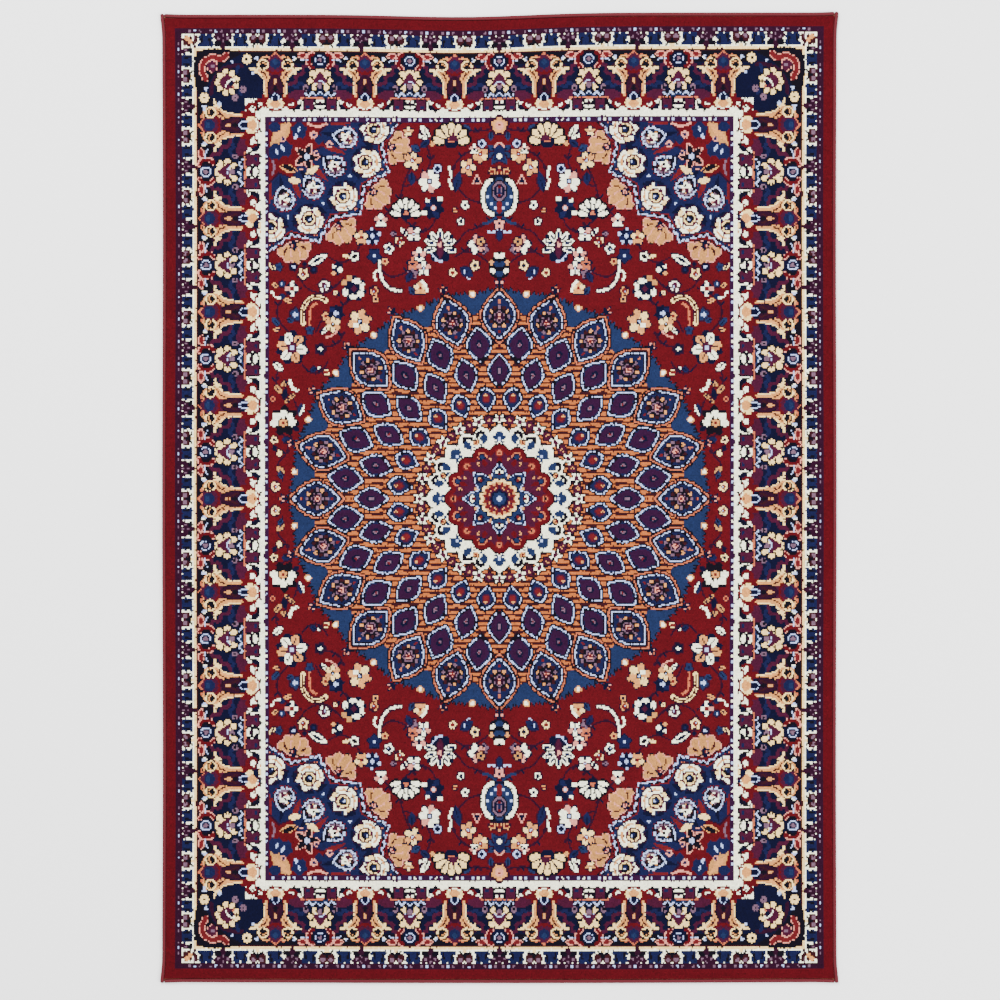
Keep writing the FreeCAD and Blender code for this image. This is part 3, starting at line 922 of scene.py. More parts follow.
for u, v, half_u, half_v in ((108.5, 155, 3.4, 2.4), (104, 151, 2.4, 2.8), (105.5, 145.6, 2.6, 2.2),
                             (111, 143.6, 3, 2.1), (117, 147, 2.4, 3)):
    oval(DRAWING, u, v, half_u, half_v, "ivory")
for u, v in ((118, 154), (114, 157)):
    oval(DRAWING, u, v, 2.4, 2.0, "tan")
oval(DRAWING, 110.5, 149.5, 2.2, 2.2, "burgundy")
for width, yarn in ((5.0, "plum"), (3.2, "cream"), (1.0, "umber")):
    thread(DRAWING, [(132, 141), (138, 143.6), (145, 141.4), (149.4, 134), (149, 125)], width, yarn)
thread(DRAWING, [(139, 139), (143.4, 135), (144, 124)], 1.8, "salmon")
bloom(124, 132, 5, 7, "navy", "ice")
bloom(126.5, 124, 4.8, 6, "cream", "black")
thread(DRAWING, [(124, 119), (127, 116), (131, 115)], 1.6, "pink")
bloom(106, 126, 7.6, 6, "beige", "navy", 15)
oval(DRAWING, 109, 123.6, 2.2, 1.8, "ivory")
# The lily at the side, and the large flower below it
lobed(DRAWING, 157, 107.5, 13, 3, 7, "navy")
for step in range(6):
    turn = math.radians(step * 60 + 20)
    yarn = "beige" if step % 2 else "ivory"
    oval(DRAWING, 157.5 + 7.4 * math.sin(turn), 107.5 + 7 * math.cos(turn), 3.3, 4.2, yarn, turn=-step * 60)
    thread(DRAWING, [(157.5, 107.5), (157.5 + 9 * math.sin(turn), 107.5 + 9 * math.cos(turn))], 0.9, "navy",
           smooth=False)
lobed(DRAWING, 157.5, 107.5, 4.6, 1.2, 5, "burgundy")
oval(DRAWING, 157.5, 107.5, 1.6, 1.6, "ice")
lobed(DRAWING, 163, 55.5, 11.4, 3, 7, "black")
for step in range(5):
    turn = math.radians(step * 50 - 100)
    oval(DRAWING, 164 + 7 * math.sin(turn), 55 + 5.4 * math.cos(turn), 3.2, 2.8, "ivory", turn=-step * 50)
nested(DRAWING, 164, 54, (3.2, 2.6, "beige"), (1.4, 1.3, "brick"))
edged_leaf((157, 52), (152, 48), 3, "navy")

# ---------------------------------------------------------------------------------------------------------
# The medallion: four rings of leaf-shaped cells on a lattice of salmon bars, like a peacock's fan, inside a
# surround of blue leaves. An ivory collar with navy flowers lies round a red rosette and its blue star.
# ---------------------------------------------------------------------------------------------------------
LEAVES = 24                      # leaf cells in each ring of the medallion
LEAF_STEP = 360 / LEAVES
LATTICE_ROWS = 4                 # rows from one dark line of the lattice to the next
LATTICE_KNOTS = 13
RINGS = [
    # mm to the cell's middle, half-length, half-width, offset in steps, how much wider its outer half is
    (434, 57, 39, 0.0, 0.0),
    (368, 43, 31, 0.5, 0.0),
    (303, 41, 27, 0.0, 0.05),
    (237, 30, 22, 0.5, 0.35),
]
SURROUND_NOTCH, GROUND_NOTCH = 27, 58
COLLAR_RADIUS, COLLAR_SCALLOP = 174, 13
ROSETTE_RADIUS, ROSETTE_SCALLOP = 129, 14
STAR_RADIUS, STAR_SCALLOP = 89, 13
RING_RADIUS = 49


def cell_outline(half_length, half_width, skew, teeth=0.0):
    """A leaf cell, pointed at both ends, its outer tip along +y."""
    right = []
    for step in range(17):
        y = 1 - step / 8
        wide = (1 - abs(y) ** 1.75) * (1 + skew * y)
        jag = teeth if step % 2 else -teeth
        right.append((half_width * wide + jag * (abs(y) < 1), half_length * y))
    return right + [(-x, y) for x, y in right[-2:0:-1]]


def cell(place, half_length, half_width, skew, inside):
    """A cell with a thin white serrated outline between two dark ones."""
    for grow, teeth, yarn in ((3.4, 0, "black"), (0, 0.9, "ice"), (-3.2, 0.9, "black"), (-6.0, 0, inside)):
        outline = cell_outline(half_length + grow * 1.5, half_width + grow, skew, teeth)
        fill(place, outline, yarn, smooth=False)


def lattice():
    """Salmon bars between thin dark lines, with short breaks, over the whole fan."""
    within = np.hypot(paper_u * KNOT, paper_v * ROW) < RINGS[0][0] + 8
    row = np.floor(paper_v).astype(int) + 2
    paper[within] = YARN_NUMBERS["apricot"]
    paper[within & (row % LATTICE_ROWS == 0)] = YARN_NUMBERS["umber"]
    shifted = (np.floor(paper_u).astype(int) + row // LATTICE_ROWS * 5) % LATTICE_KNOTS
    paper[within & (row % LATTICE_ROWS == 1) & (shifted < 8)] = YARN_NUMBERS["umber"]


def flower_cell(place):
    """The outer ring's cells hold a ragged flower with a dark heart."""
    lobed(place, 0, -2, 30, 6, 12, "black")
    for step in range(12):
        angle = math.radians(step * 30)
        x, y = 22 * math.sin(angle), 24 * math.cos(angle) - 2
        oval(place, x, y, 4.4, 4.8, ("mauve", "umber", "beige")[step % 3])
    lobed(place, 0, -2, 16, 5, 6, "mauve")
    lobed(place, 0, -2, 12, 4, 6, "plum")
    lobed(place, 0, -2, 7.4, 2.4, 4, "pink")
    oval(place, 0, -2, 3.2, 3.2, "brick")
    oval(place, 0, 35, 3.0, 5.4, "salmon")
    oval(place, 0, -37, 3.0, 4.4, "brick")


def tip_fleur(place):
    """A small dark fleur on each outer tip."""
    for half in sides(place):
        leaf(half, (1, -8), (12, 9), 7, "navy")
    leaf(place, (0, -8), (0, 17), 11, "navy")
    for half in sides(place):
        oval(half, 6, 2, 2.6, 3.0, "pink")
    oval(place, 0, 8, 2.4, 3.4, "salmon")


def surround():
    """Blue leaves fan out of each notch between the outer cells, ragged against the field."""
    for grow, yarn in ((2.4, "black"), (0, "blue")):
        for step in range(-1, 8):
            for lean in (-6.2, -4.1, -2, 0, 2, 4.1, 6.2):
                place = round_spot(468, (step + 0.5) * LEAF_STEP + lean)
                reach = 27 + 1.6 * abs(lean)
                leaf(place, (0, -44), (lean * 0.6, reach + grow), 24 + grow * 2, yarn)
                leaf(place, (-9, -20), (-10 + lean * 0.6, reach - 5 + grow), 9 + grow * 2, yarn)
                leaf(place, (9, -20), (10 + lean * 0.6, reach - 5 + grow), 9 + grow * 2, yarn)


def scalloped_disc(radius, depth, scallops, yarn, phase=0.0):
    """A disc with pointed-in scallops, centred on the rug."""
    x, y = paper_u * KNOT, paper_v * ROW
    angle = np.arctan2(x, y) + math.radians(phase)
    swell = np.abs(np.cos(scallops * angle / 2))
    paper[np.hypot(x, y) < radius - depth * (1 - swell)] = YARN_NUMBERS[yarn]


surround()
lattice()
for grow, yarn in ((11, "black"), (8, "salmon"), (4.4, "umber")):
    for step in range(-1, 8):
        place = round_spot(RINGS[0][0], step * LEAF_STEP)
        outline = cell_outline(RINGS[0][1] + grow * 1.4, RINGS[0][2] + grow, 0, 1.0)
        fill(place, outline, yarn, smooth=False)
for radius, half_length, half_width, offset, skew in RINGS:
    outer, inner = radius == RINGS[0][0], radius == RINGS[-1][0]
    for step in range(-1, 8):
        place = round_spot(radius, (step + offset) * LEAF_STEP)
        cell(place, half_length, half_width, skew, "indigo")
        if outer:
            flower_cell(place)
            tip_fleur(round_spot(radius + half_length + 20, step * LEAF_STEP))
            bud = round_spot(490, (step + 0.5) * LEAF_STEP)
            nested(bud, 0, 0, (8.5, 9.0, "beige"), (4.6, 5.6, "ivory"))
        elif inner:
            for dot in ((0, 3, 11, 12, "burgundy"), (0, 2, 7, 8, "brick"), (1, 10, 3.6, 4.0, "beige")):
                oval(place, *dot)
        else:
            shape = cell_outline(half_length * 0.78, half_width * 0.72, skew)
            fill(place, shape, "aubergine", smooth=False)
            oval(place, 0, 1, 7.4, 11, "navy")
            fill(place, [(0, 9), (4.6, 0), (0, -9), (-4.6, 0)], "mauve", smooth=False)
            oval(place, 0, 0, 1.8, 2.6, "brick")

# Small stars and red flowers stand round the ivory collar
for step in range(-1, 8):
    place = round_spot(189, step * LEAF_STEP)
    lobed(place, 0, 0, 19, 8, 5, "black", turn=180)
for step in range(-1, 8):
    place = round_spot(187, (step + 0.5) * LEAF_STEP)
    lobed(place, 0, 0, 15, 4, 6, "black")
    lobed(place, 0, 0, 12.5, 4, 6, "burgundy")
    nested(place, 0, 1, (4.2, 4.2, "beige"), (1.7, 1.7, "black"))
scalloped_disc(COLLAR_RADIUS + 4, COLLAR_SCALLOP, LEAVES, "black")
scalloped_disc(COLLAR_RADIUS, COLLAR_SCALLOP, LEAVES, "ivory")
for step in range(-1, 8):
    place = round_spot(189, step * LEAF_STEP)
    lobed(place, 0, 0, 16, 9, 5, "ivory", turn=180)
    lobed(place, 0, 0, 6.5, 2.5, 5, "burgundy")
for step in range(-1, 6):
    # a flower on each eighth of the collar, with a leaf either side and a curl between leaves
    place = round_spot(147, step * 45)
    leaf(place, (0, -13), (0, 15), 25, "blue")
    for half in sides(place):
        leaf(half, (2, -9), (17, 4), 8, "blue")
        leaf(half, (2, -12), (13, -13), 6, "blue")
    oval(place, 0, -5, 4.0, 4.5, "ice")
    for half in sides(place):
        bent = moved(half, 35, -4, turn=8)
        leaf(bent, (-1, -14), (3, 14), 17, "blue")
        leaf(bent, (3, -14), (10, -17), 6, "blue")
        thread(half, [(38, 9), (44, 11), (50, 6), (53, 0)], 2.6, "black")
    curl = round_spot(146, step * 45 + 22.5)
    nested(curl, 0, -2, (9, 8, "black"), (7, 6, "beige"), (3.2, 3.2, "brick"))
scalloped_disc(ROSETTE_RADIUS + 3, ROSETTE_SCALLOP, 16, "black")
scalloped_disc(ROSETTE_RADIUS, ROSETTE_SCALLOP, 16, "red")
scalloped_disc(ROSETTE_RADIUS - 16, 10, 16, "burgundy")
for step in range(-1, 9):
    if step % 2:
        place = round_spot(107, step * 22.5)
        thread(place, [(-10, -4), (-8, 6), (0, 11), (8, 6), (10, -4)], 1.1, "salmon")
        oval(place, 0, -1, 8.0, 9.5, "navy")
        oval(place, 0, 0, 5.0, 6.0, "blue")
        for half in sides(place):
            nested(half, 15, -13, (4.2, 4.6, "beige"), (1.8, 1.8, "black"))
    else:
        place = round_spot(109, step * 22.5)
        nested(place, 0, 0, (11, 10, "brick"), (7.4, 6.8, "salmon"), (2.8, 2.8, "black"))
    leaf(round_spot(92, step * 22.5), (0, -10), (0, 10), 12, "red")
for shrink, yarn in ((-3, "black"), (0, "ice"), (4.5, "navy"), (8, "blue")):
    outline = []
    for step in range(64):
        radius = STAR_RADIUS - shrink - 2.6 * STAR_SCALLOP / 4 * min(step % 8, 8 - step % 8)
        radius -= 2.5 * (step % 2)
        turn = math.tau * step / 64
        outline.append((radius * math.sin(turn), radius * math.cos(turn)))
    fill(round_spot(0, 0), outline, yarn, smooth=False)
for step in range(-1, 6):
    place = round_spot(64, step * 45)
    if step % 2:
        oval(place, 0, 0, 10, 9, "navy")
        leaf(place, (0, -8), (0, 8), 8, "brick")
        oval(place, 0, 3, 3.6, 3.0, "beige")
    else:
        nested(place, 0, 0, (11, 9, "navy"), (9, 6.5, "ivory"), (3, 3, "black"))
    between = round_spot(58, step * 45 + 22.5)
    leaf(between, (0, -6), (0, 9), 7, "beige")
scalloped_disc(RING_RADIUS + 1, 5, 16, "black", phase=11.25)
scalloped_disc(RING_RADIUS - 1, 6, 16, "cream", phase=11.25)
scalloped_disc(RING_RADIUS - 10, 0, 16, "beige")
for step in range(-1, 10):
    place = round_spot(33, step * 22.5 + 11.25)
    leaf(place, (0, -8), (0, 9), 9, "brick")
    oval(round_spot(31, step * 22.5), 0, 0, 2.2, 4.0, "burgundy")
for scallop in ((26, 3, 8, "burgundy"), (22, 3, 8, "navy"), (17, 2, 8, "blue"), (6, 0, 8, "ice")):
    scalloped_disc(*scallop)

# Where two yarns meet, a light knot now and then gives way to a darker neighbour, so outlines are ragged
RAGGED = 0.07                    # the chance of it, for each of a knot's four neighbours
rng = np.random.default_rng(7)
LIGHT_YARNS = ("ivory", "ice", "cream", "beige", "tan", "pink", "salmon", "mauve", "apricot")
is_light = np.array([name in LIGHT_YARNS for name in YARNS])
for step in ((0, 1), (1, 0), (0, -1), (-1, 0)):
    near = np.roll(paper, step, (0, 1))
    gives_way = is_light[paper] & ~is_light[near] & (rng.random(paper.shape) < RAGGED)
    paper[gives_way] = near[gives_way]

# ---------------------------------------------------------------------------------------------------------
# The pile: heat-set polypropylene yarn, bound into the ground knot by knot and cut level. Each stretch of the
# design is one set of tufts. The cut ends give a matt, slightly soft surface, in which every knot keeps its
# own shade, because each tuft leans a little its own way.
# ---------------------------------------------------------------------------------------------------------
COLUMNS, LINES = 2 * HALF_KNOTS, 2 * HALF_ROWS
PILE_LOW, PILE_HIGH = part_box("field_pile")[0][2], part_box("field_pile")[1][2]
SHEARING = 0.35 * MM             # how unevenly the shears leave the tufts
SHADE_SPREAD = 0.10              # how far one tuft's shade strays from the next
TOP_SHARE = 0.955                # the share of a piece's map that its top takes

yarn_table = np.array([linear(value) for value in YARNS.values()])
design = np.concatenate([paper[:, ::-1], paper], axis=1)
design = np.concatenate([design[::-1], design], axis=0)
shade = 1 + rng.normal(0, SHADE_SPREAD, (LINES, COLUMNS))
shade *= 1 + 0.03 * np.sin(np.arange(LINES) * 0.9 + rng.normal(0, 0.8, LINES))[:, None]
top_height = PILE_HIGH - rng.random((LINES + 1, COLUMNS + 1)) * SHEARING
knot_x = (np.arange(COLUMNS) + 0.5 - HALF_KNOTS) * KNOT * MM
knot_y = (np.arange(LINES) + 0.5 - HALF_ROWS) * ROW * MM
knots_x, knots_y = np.meshgrid(knot_x, knot_y)


def cut_pile():
    """Cut polypropylene pile: matt, with a faint sheen and the cut tuft ends as a fine bump."""
    material, tree, out = new_material("heat_set_polypropylene_cut_pile")
    colour = node(tree, "ShaderNodeAttribute", {"attribute_name": "yarn"})
    place = node(tree, "ShaderNodeTexCoord").outputs["Object"]
    in_knots = node(tree, "ShaderNodeMapping", {"Scale": (1 / (KNOT * MM), 1 / (ROW * MM), 1)},
                    {"Vector": place})
    tufts = node(tree, "ShaderNodeTexVoronoi", {"Scale": 1.6, "Randomness": 0.8},
                 {"Vector": in_knots.outputs[0]})
    fibres = node(tree, "ShaderNodeTexNoise", {"Scale": 5.0, "Detail": 2.0}, {"Vector": in_knots.outputs[0]})
    depth = node(tree, "ShaderNodeMath", {"operation": "MULTIPLY_ADD", 1: 0.5},
                 {0: fibres.outputs["Fac"], 2: tufts.outputs["Distance"]})
    bump = node(tree, "ShaderNodeBump", {"Strength": 0.35, "Distance": 0.0012, "invert": True},
                {"Height": depth.outputs[0]})
    cloud = node(tree, "ShaderNodeTexNoise", {"Scale": 0.05, "Detail": 2.0}, {"Vector": in_knots.outputs[0]})
    ply = node(tree, "ShaderNodeMapRange", {"From Min": 0.3, "From Max": 0.7, "To Min": 0.93, "To Max": 1.07},
               {"Value": cloud.outputs["Fac"]})
    # Each tuft's colour is lifted at its middle and darkened towards its edge: painted highlight on the tuft
    # tops and painted shade in the gaps between them.
    tuft_gap_shade = node(tree, "ShaderNodeMapRange", {"From Min": 0.0, "From Max": 0.8, "To Min": 1.08, "To Max": 0.8},
                {"Value": tufts.outputs["Distance"]})
    both = node(tree, "ShaderNodeMath", {"operation": "MULTIPLY"}, {0: ply.outputs[0], 1: tuft_gap_shade.outputs[0]})
    shaded = node(tree, "ShaderNodeVectorMath", {"operation": "SCALE"},
                  {0: colour.outputs["Color"], "Scale": both.outputs[0]})
    pile = node(tree, "ShaderNodeBsdfPrincipled",
                {"Roughness": 0.9, "IOR": 1.49, "Specular IOR Level": 0.06, "Sheen Weight": 0.01},
                {"Base Color": shaded.outputs[0], "Normal": bump.outputs["Normal"]})
    tree.links.new(pile.outputs[0], out.inputs[0])
    return material


def tufted_piece(name, cells, material, slot, *nodes):
    """The tufts of the marked knots as one closed mesh: cut tops, side walls and a flat base."""
    top_at = np.full((LINES + 1, COLUMNS + 1), -1)
    row, column = np.nonzero(cells)
    used = np.zeros_like(top_at, bool)
    for down, across in ((0, 0), (0, 1), (1, 0), (1, 1)):
        used[row + down, column + across] = True
    top_at[used] = np.arange(used.sum())
    tops = np.stack([top_at[row, column], top_at[row, column + 1], top_at[row + 1, column + 1],
                     top_at[row + 1, column]], -1)
    yarn = design[row, column]
    top_colour = yarn_table[yarn] * shade[row, column][:, None]
    padded_cells = np.pad(cells, 1)
    walls, wall_painted_shade_colour = [], []
    for row_step, column_step, first, second in ((-1, 0, (0, 0), (0, 1)), (0, 1, (0, 1), (1, 1)),
                                                 (1, 0, (1, 1), (1, 0)), (0, -1, (1, 0), (0, 0))):
        open_side = ~padded_cells[row + 1 + row_step, column + 1 + column_step]
        r, c = row[open_side], column[open_side]
        walls.append(np.stack([r + second[0], c + second[1], r + first[0], c + first[1]], -1))
        # The side walls take their knot's colour darkened to three quarters: painted shade on the sides of
        # the tufts.
        wall_painted_shade_colour.append(top_colour[open_side] * 0.75)
    walls = np.concatenate(walls)
    runs = np.diff(np.pad(cells.astype(np.int8), ((0, 0), (1, 1))), axis=1)
    start_row, start = np.nonzero(runs == 1)
    end = np.nonzero(runs == -1)[1]
    base_used = np.zeros_like(used)
    base_used[walls[:, 0], walls[:, 1]] = base_used[walls[:, 2], walls[:, 3]] = True
    for down, edge in ((0, start), (0, end), (1, start), (1, end)):
        base_used[start_row + down, edge] = True
    base_at = np.full_like(top_at, -1)
    base_at[base_used] = used.sum() + np.arange(base_used.sum())
    wall_faces = np.stack([top_at[walls[:, 0], walls[:, 1]], top_at[walls[:, 2], walls[:, 3]],
                           base_at[walls[:, 2], walls[:, 3]], base_at[walls[:, 0], walls[:, 1]]], -1)
    base_faces = np.stack([base_at[start_row, start], base_at[start_row + 1, start],
                           base_at[start_row + 1, end], base_at[start_row, end]], -1)
    grid_row, grid_column = np.nonzero(used)
    base_row, base_column = np.nonzero(base_used)
    flat = np.column_stack([
        (np.concatenate([grid_column, base_column]) - HALF_KNOTS) * KNOT * MM,
        (np.concatenate([grid_row, base_row]) - HALF_ROWS) * ROW * MM,
        np.concatenate([top_height[used], np.full(base_used.sum(), PILE_LOW)]),
    ])
    limit_x, limit_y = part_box("edge_band_pile")[1][:2]
    flat[:, 0] = np.clip(flat[:, 0], -limit_x, limit_x)
    flat[:, 1] = np.clip(flat[:, 1], -limit_y, limit_y)
    faces = np.concatenate([tops, wall_faces, base_faces])
    piece = piece_from(name, as_it_lies(flat), faces.tolist(), material, slot, *nodes)
    mesh = piece.data
    ground_colour = np.tile(linear(JUTE), (len(base_faces), 1))
    colours = np.concatenate([top_colour, *wall_painted_shade_colour, ground_colour])
    corners = np.repeat(np.column_stack([colours, np.ones(len(colours))]), 4, axis=0)
    layer = mesh.color_attributes.new("yarn", "FLOAT_COLOR", "CORNER")
    layer.data.foreach_set("color", corners.astype(np.float32).ravel())
    # The map: the tops keep their plan, the walls and base take a strip at its side
    low, high = flat.min(axis=0), flat.max(axis=0)
    plan = (flat[:, :2] - low[:2]) / (high[:2] - low[:2])
    uv = np.empty((len(faces), 4, 2))
    uv[:len(tops)] = plan[tops] * (TOP_SHARE, 1)
    count = len(walls) + len(base_faces)
    share = np.arange(count)[:, None] / count
    strip = np.stack([np.broadcast_to(np.array([0.998, 0.998, 0.965, 0.965]), (count, 4)),
                      share + np.array([0, 1, 1, 0]) / count], -1)
    uv[len(tops):] = strip
    uv_layer = mesh.uv_layers.new(name="OFBake")
    uv_layer.data.foreach_set("uv", uv.astype(np.float32).ravel())
    return piece


def ring_cells(inner, outer):
    """The knots between two band edges."""
    u, v = np.abs(knots_x) / (KNOT * MM), np.abs(knots_y) / (ROW * MM)
    return ((u > inner[0]) | (v > inner[1])) & (u < outer[0]) & (v < outer[1])


def lobed_cells(tip_radius, depth, lobes, centre_x=0.0, centre_y=0.0):
    """The knots within a round outline of pointed lobes."""
    x, y = knots_x - centre_x, knots_y - centre_y
    swell = np.abs((np.arctan2(x, y) * lobes / math.tau + 0.5) % 1 - 0.5) * 2
    return np.hypot(x, y) < tip_radius - depth * swell


pile = cut_pile()
RING_PILES = [
    ("edge_band", OUTER_GUARD, RUG_EDGE, "red_pile"),
    ("outer_guard", OUTER_MINOR, OUTER_GUARD, "navy_pile"),
    ("outer_minor_border", CREAM_FILLET, OUTER_MINOR, "ivory_pile"),
    ("cream_fillet", MAIN_BORDER, CREAM_FILLET, "ivory_pile"),
    ("main_border", INNER_MINOR, MAIN_BORDER, "navy_pile"),
    ("inner_minor_border", IVORY_FILLET, INNER_MINOR, "ivory_pile"),
    ("ivory_fillet", INNER_GUARD, IVORY_FILLET, "ivory_pile"),
    ("inner_guard", FIELD, INNER_GUARD, "burgundy_pile"),
]
limit_x, limit_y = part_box("edge_band_pile")[1][:2]
inside_winding = (np.abs(knots_x) < limit_x) & (np.abs(knots_y) < limit_y)
for name, inner, outer, slot in RING_PILES:
    cells = ring_cells(inner, outer) & inside_winding
    tufted_piece(name + "_tufts", cells, pile, slot, name + "_pile")

discs = [
    ("surround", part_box("medallion_surround_pile")[1][0], SURROUND_NOTCH * MM, LEAVES, "blue_pile"),
    ("ground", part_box("medallion_ground_pile")[1][0], GROUND_NOTCH * MM, LEAVES, "salmon_pile"),
    ("collar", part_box("medallion_collar_pile")[1][0], COLLAR_SCALLOP * MM, LEAVES, "ivory_pile"),
    ("rosette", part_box("medallion_rosette_pile")[1][0], ROSETTE_SCALLOP * MM, 16, "red_pile"),
    ("star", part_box("medallion_star_pile")[1][0], STAR_SCALLOP * MM, 8, "blue_pile"),
]
discs_cells = [lobed_cells(*disc[1:4]) for disc in discs]
for index, (name, _, _, _, slot) in enumerate(discs):
    cells = discs_cells[index]
    if index + 1 < len(discs):
        cells = cells & ~discs_cells[index + 1]
    node_name = "medallion_" + name + "_pile"
    tufted_piece("medallion_" + name + "_tufts", cells, pile, slot, node_name)

in_field = (np.abs(knots_x) < FIELD[0] * KNOT * MM) & (np.abs(knots_y) < FIELD[1] * ROW * MM)
rest_of_field = in_field & ~discs_cells[0]
for end, side_y in (("front", -1), ("back", 1)):
    for side, side_x in (("left", -1), ("right", 1)):
        centre = (side_x * FIELD[0] * KNOT * MM, side_y * FIELD[1] * ROW * MM)
        cells = in_field & lobed_cells(SPANDREL_TIP * MM, SPANDREL_NOTCH * MM, SPANDREL_LOBES, *centre)
        rest_of_field &= ~cells
        node_name = "spandrel_pile_" + end + "_" + side
        piece_name = "spandrel_tufts_" + end + "_" + side
        tufted_piece(piece_name, cells, pile, "blue_pile", node_name)
tufted_piece("field_tufts", rest_of_field, pile, "red_pile", "field_pile")

# ---------------------------------------------------------------------------------------------------------
# The overlocked edges: red yarn whipped round the cut edge by machine, turn against turn, so that the edge is
# a firm round roll with slanting ridges. The two long sides run the full length and close the corners.
# ---------------------------------------------------------------------------------------------------------
TURN_PITCH = 4.0 * MM            # from one turn of the yarn to the next
TURN_RELIEF = 0.55 * MM
TURN_SLANT = 0.9                 # how far a turn leans along the edge in half its way round
ROUND_POINTS = 20
STEPS_PER_TURN = 4


def whipped_yarn():
    """Bulked polypropylene yarn in close turns: its colour a little brighter than the pile, a painted sheen
    of yarn lying on its side.
    """
    material, tree, out = new_material("whipped_edge_yarn")
    place = node(tree, "ShaderNodeTexCoord").outputs["Object"]
    fibre = node(tree, "ShaderNodeTexNoise", {"Scale": 900.0, "Detail": 3.0}, {"Vector": place})
    # On average the ramp sits a little above the pile's edge red: painted sheen of the yarn's side.
    colour = two_tone(tree, fibre.outputs["Fac"], (0.3, "#3A0A10"), (0.72, "#5E1720"))
    bump = node(tree, "ShaderNodeBump", {"Strength": 0.4, "Distance": 0.0005},
                {"Height": fibre.outputs["Fac"]})
    yarn = node(tree, "ShaderNodeBsdfPrincipled",
                {"Roughness": 0.8, "IOR": 1.49, "Specular IOR Level": 0.2, "Sheen Weight": 0.03},
                {"Base Color": colour, "Normal": bump.outputs["Normal"]})
    tree.links.new(yarn.outputs[0], out.inputs[0])
    return material


def whipped_edge(name, node_name, material):
    """A roll of yarn turns along one edge, closed at both ends."""
    low, high = (np.array(corner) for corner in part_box(node_name))
    runs_along_y = high[1] - low[1] > high[0] - low[0]
    long_axis, short_axis = (1, 0) if runs_along_y else (0, 1)
    length = high[long_axis] - low[long_axis]
    stations = int(length / TURN_PITCH * STEPS_PER_TURN) + 1
    along = np.linspace(low[long_axis], high[long_axis], stations)
    half_wide = (high[short_axis] - low[short_axis]) / 2
    half_high = (high[2] - low[2]) / 2
    middle = (high[short_axis] + low[short_axis]) / 2
    angle = np.arange(ROUND_POINTS) * math.tau / ROUND_POINTS
    lean = TURN_SLANT * np.cos(angle)
    turn = (along - low[long_axis])[:, None] / TURN_PITCH + lean[None, :]
    ridge = TURN_RELIEF * (1 - np.abs(np.cos(math.pi * turn)))
    closing = np.minimum(along - low[long_axis], high[long_axis] - along) / (half_wide * 0.8)
    narrow = np.sqrt(np.clip(1 - (1 - np.clip(closing, 0, 1)) ** 2, 0.02, 1))[:, None]
    square_cos = np.sign(np.cos(angle)) * np.abs(np.cos(angle)) ** 0.75
    square_sin = np.sign(np.sin(angle)) * np.abs(np.sin(angle)) ** 0.75
    across = middle + square_cos[None, :] * (half_wide - ridge) * narrow
    height = low[2] + half_high + square_sin[None, :] * (half_high - ridge) * narrow
    vertices = np.empty((stations * ROUND_POINTS, 3))
    vertices[:, long_axis] = np.repeat(along, ROUND_POINTS)
    vertices[:, short_axis] = across.ravel()
    vertices[:, 2] = height.ravel()
    ring = np.arange(ROUND_POINTS)
    start = (np.arange(stations - 1) * ROUND_POINTS)[:, None]
    near, far = start + ring, start + np.roll(ring, -1)
    around = np.stack([near, far, far + ROUND_POINTS, near + ROUND_POINTS], -1).reshape(-1, 4)
    if not runs_along_y:
        around = around[:, ::-1]
    last = (stations - 1) * ROUND_POINTS + ring
    caps = [ring.tolist(), last[::-1].tolist()]
    if runs_along_y:
        caps = [cap[::-1] for cap in caps]
    faces = around.tolist() + caps
    piece = piece_from(name, as_it_lies(vertices), faces, material, "overlock_yarn", node_name)
    piece.data.shade_smooth()
    return piece


edge_yarn = whipped_yarn()
edges = [
    whipped_edge("whipped_edge_" + side, "overlock_" + side, edge_yarn)
    for side in ("left", "right", "front", "back")
]

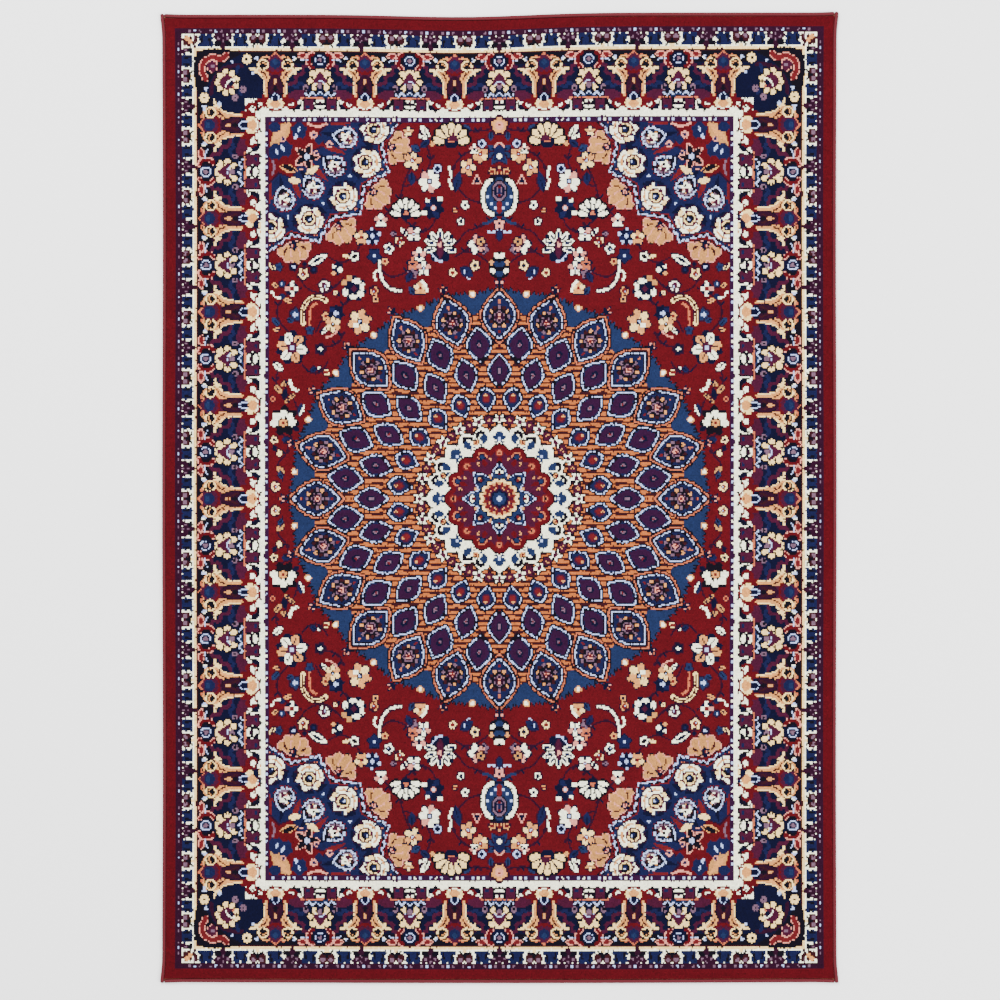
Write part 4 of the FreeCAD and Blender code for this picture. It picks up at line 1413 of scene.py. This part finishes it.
# ---------------------------------------------------------------------------------------------------------
# The room: a plain pale floor, white light from all round with two softboxes, and a camera straight above.
# ---------------------------------------------------------------------------------------------------------
FLOOR_HALF = 9.0
CAMERA_HEIGHT = 9.0
VIEW_HEIGHT = 2.3725             # metres of floor from the top to the foot of the picture

floor_mesh = bpy.data.meshes.new("floor")
floor_corners = [(-FLOOR_HALF, -FLOOR_HALF, 0), (FLOOR_HALF, -FLOOR_HALF, 0),
                 (FLOOR_HALF, FLOOR_HALF, 0), (-FLOOR_HALF, FLOOR_HALF, 0)]
floor_mesh.from_pydata(floor_corners, [], [(0, 1, 2, 3)])
floor = bpy.data.objects.new("floor", floor_mesh)
bpy.context.scene.collection.objects.link(floor)
floor_paint, floor_tree, floor_out = new_material("matt_white_floor")
floor_shader = node(floor_tree, "ShaderNodeBsdfPrincipled",
                    {"Base Color": (*linear("#F4F4F4"), 1), "Roughness": 0.9})
floor_tree.links.new(floor_shader.outputs[0], floor_out.inputs[0])
floor_mesh.materials.append(floor_paint)

world = bpy.data.worlds.new("soft_studio")
world.use_nodes = True
world.node_tree.nodes["Background"].inputs["Color"].default_value = (1, 1, 1, 1)
world.node_tree.nodes["Background"].inputs["Strength"].default_value = 1.75
bpy.context.scene.world = world


def soft_panel(name, place, size, watts):
    """A square softbox, aimed at the rug's middle."""
    light = bpy.data.lights.new(name, "AREA")
    light.shape = "SQUARE"
    light.size = size
    light.energy = watts
    panel = bpy.data.objects.new(name, light)
    panel.location = place
    aim = -panel.location
    panel.rotation_euler = aim.to_track_quat("-Z", "Y").to_euler()
    bpy.context.scene.collection.objects.link(panel)


soft_panel("head_softbox", (-1.6, 3.2, 5.2), 3.5, 620)
soft_panel("side_softbox", (3.4, -1.2, 4.6), 3.0, 300)

camera_data = bpy.data.cameras.new("camera")
camera_data.sensor_width = 36
camera_data.lens = camera_data.sensor_width / VIEW_HEIGHT * (CAMERA_HEIGHT - PILE_HIGH)
camera_data.clip_end = 60
camera = bpy.data.objects.new("camera", camera_data)
camera.location = (0.0015, -0.003, CAMERA_HEIGHT)
bpy.context.scene.collection.objects.link(camera)
bpy.context.scene.camera = camera
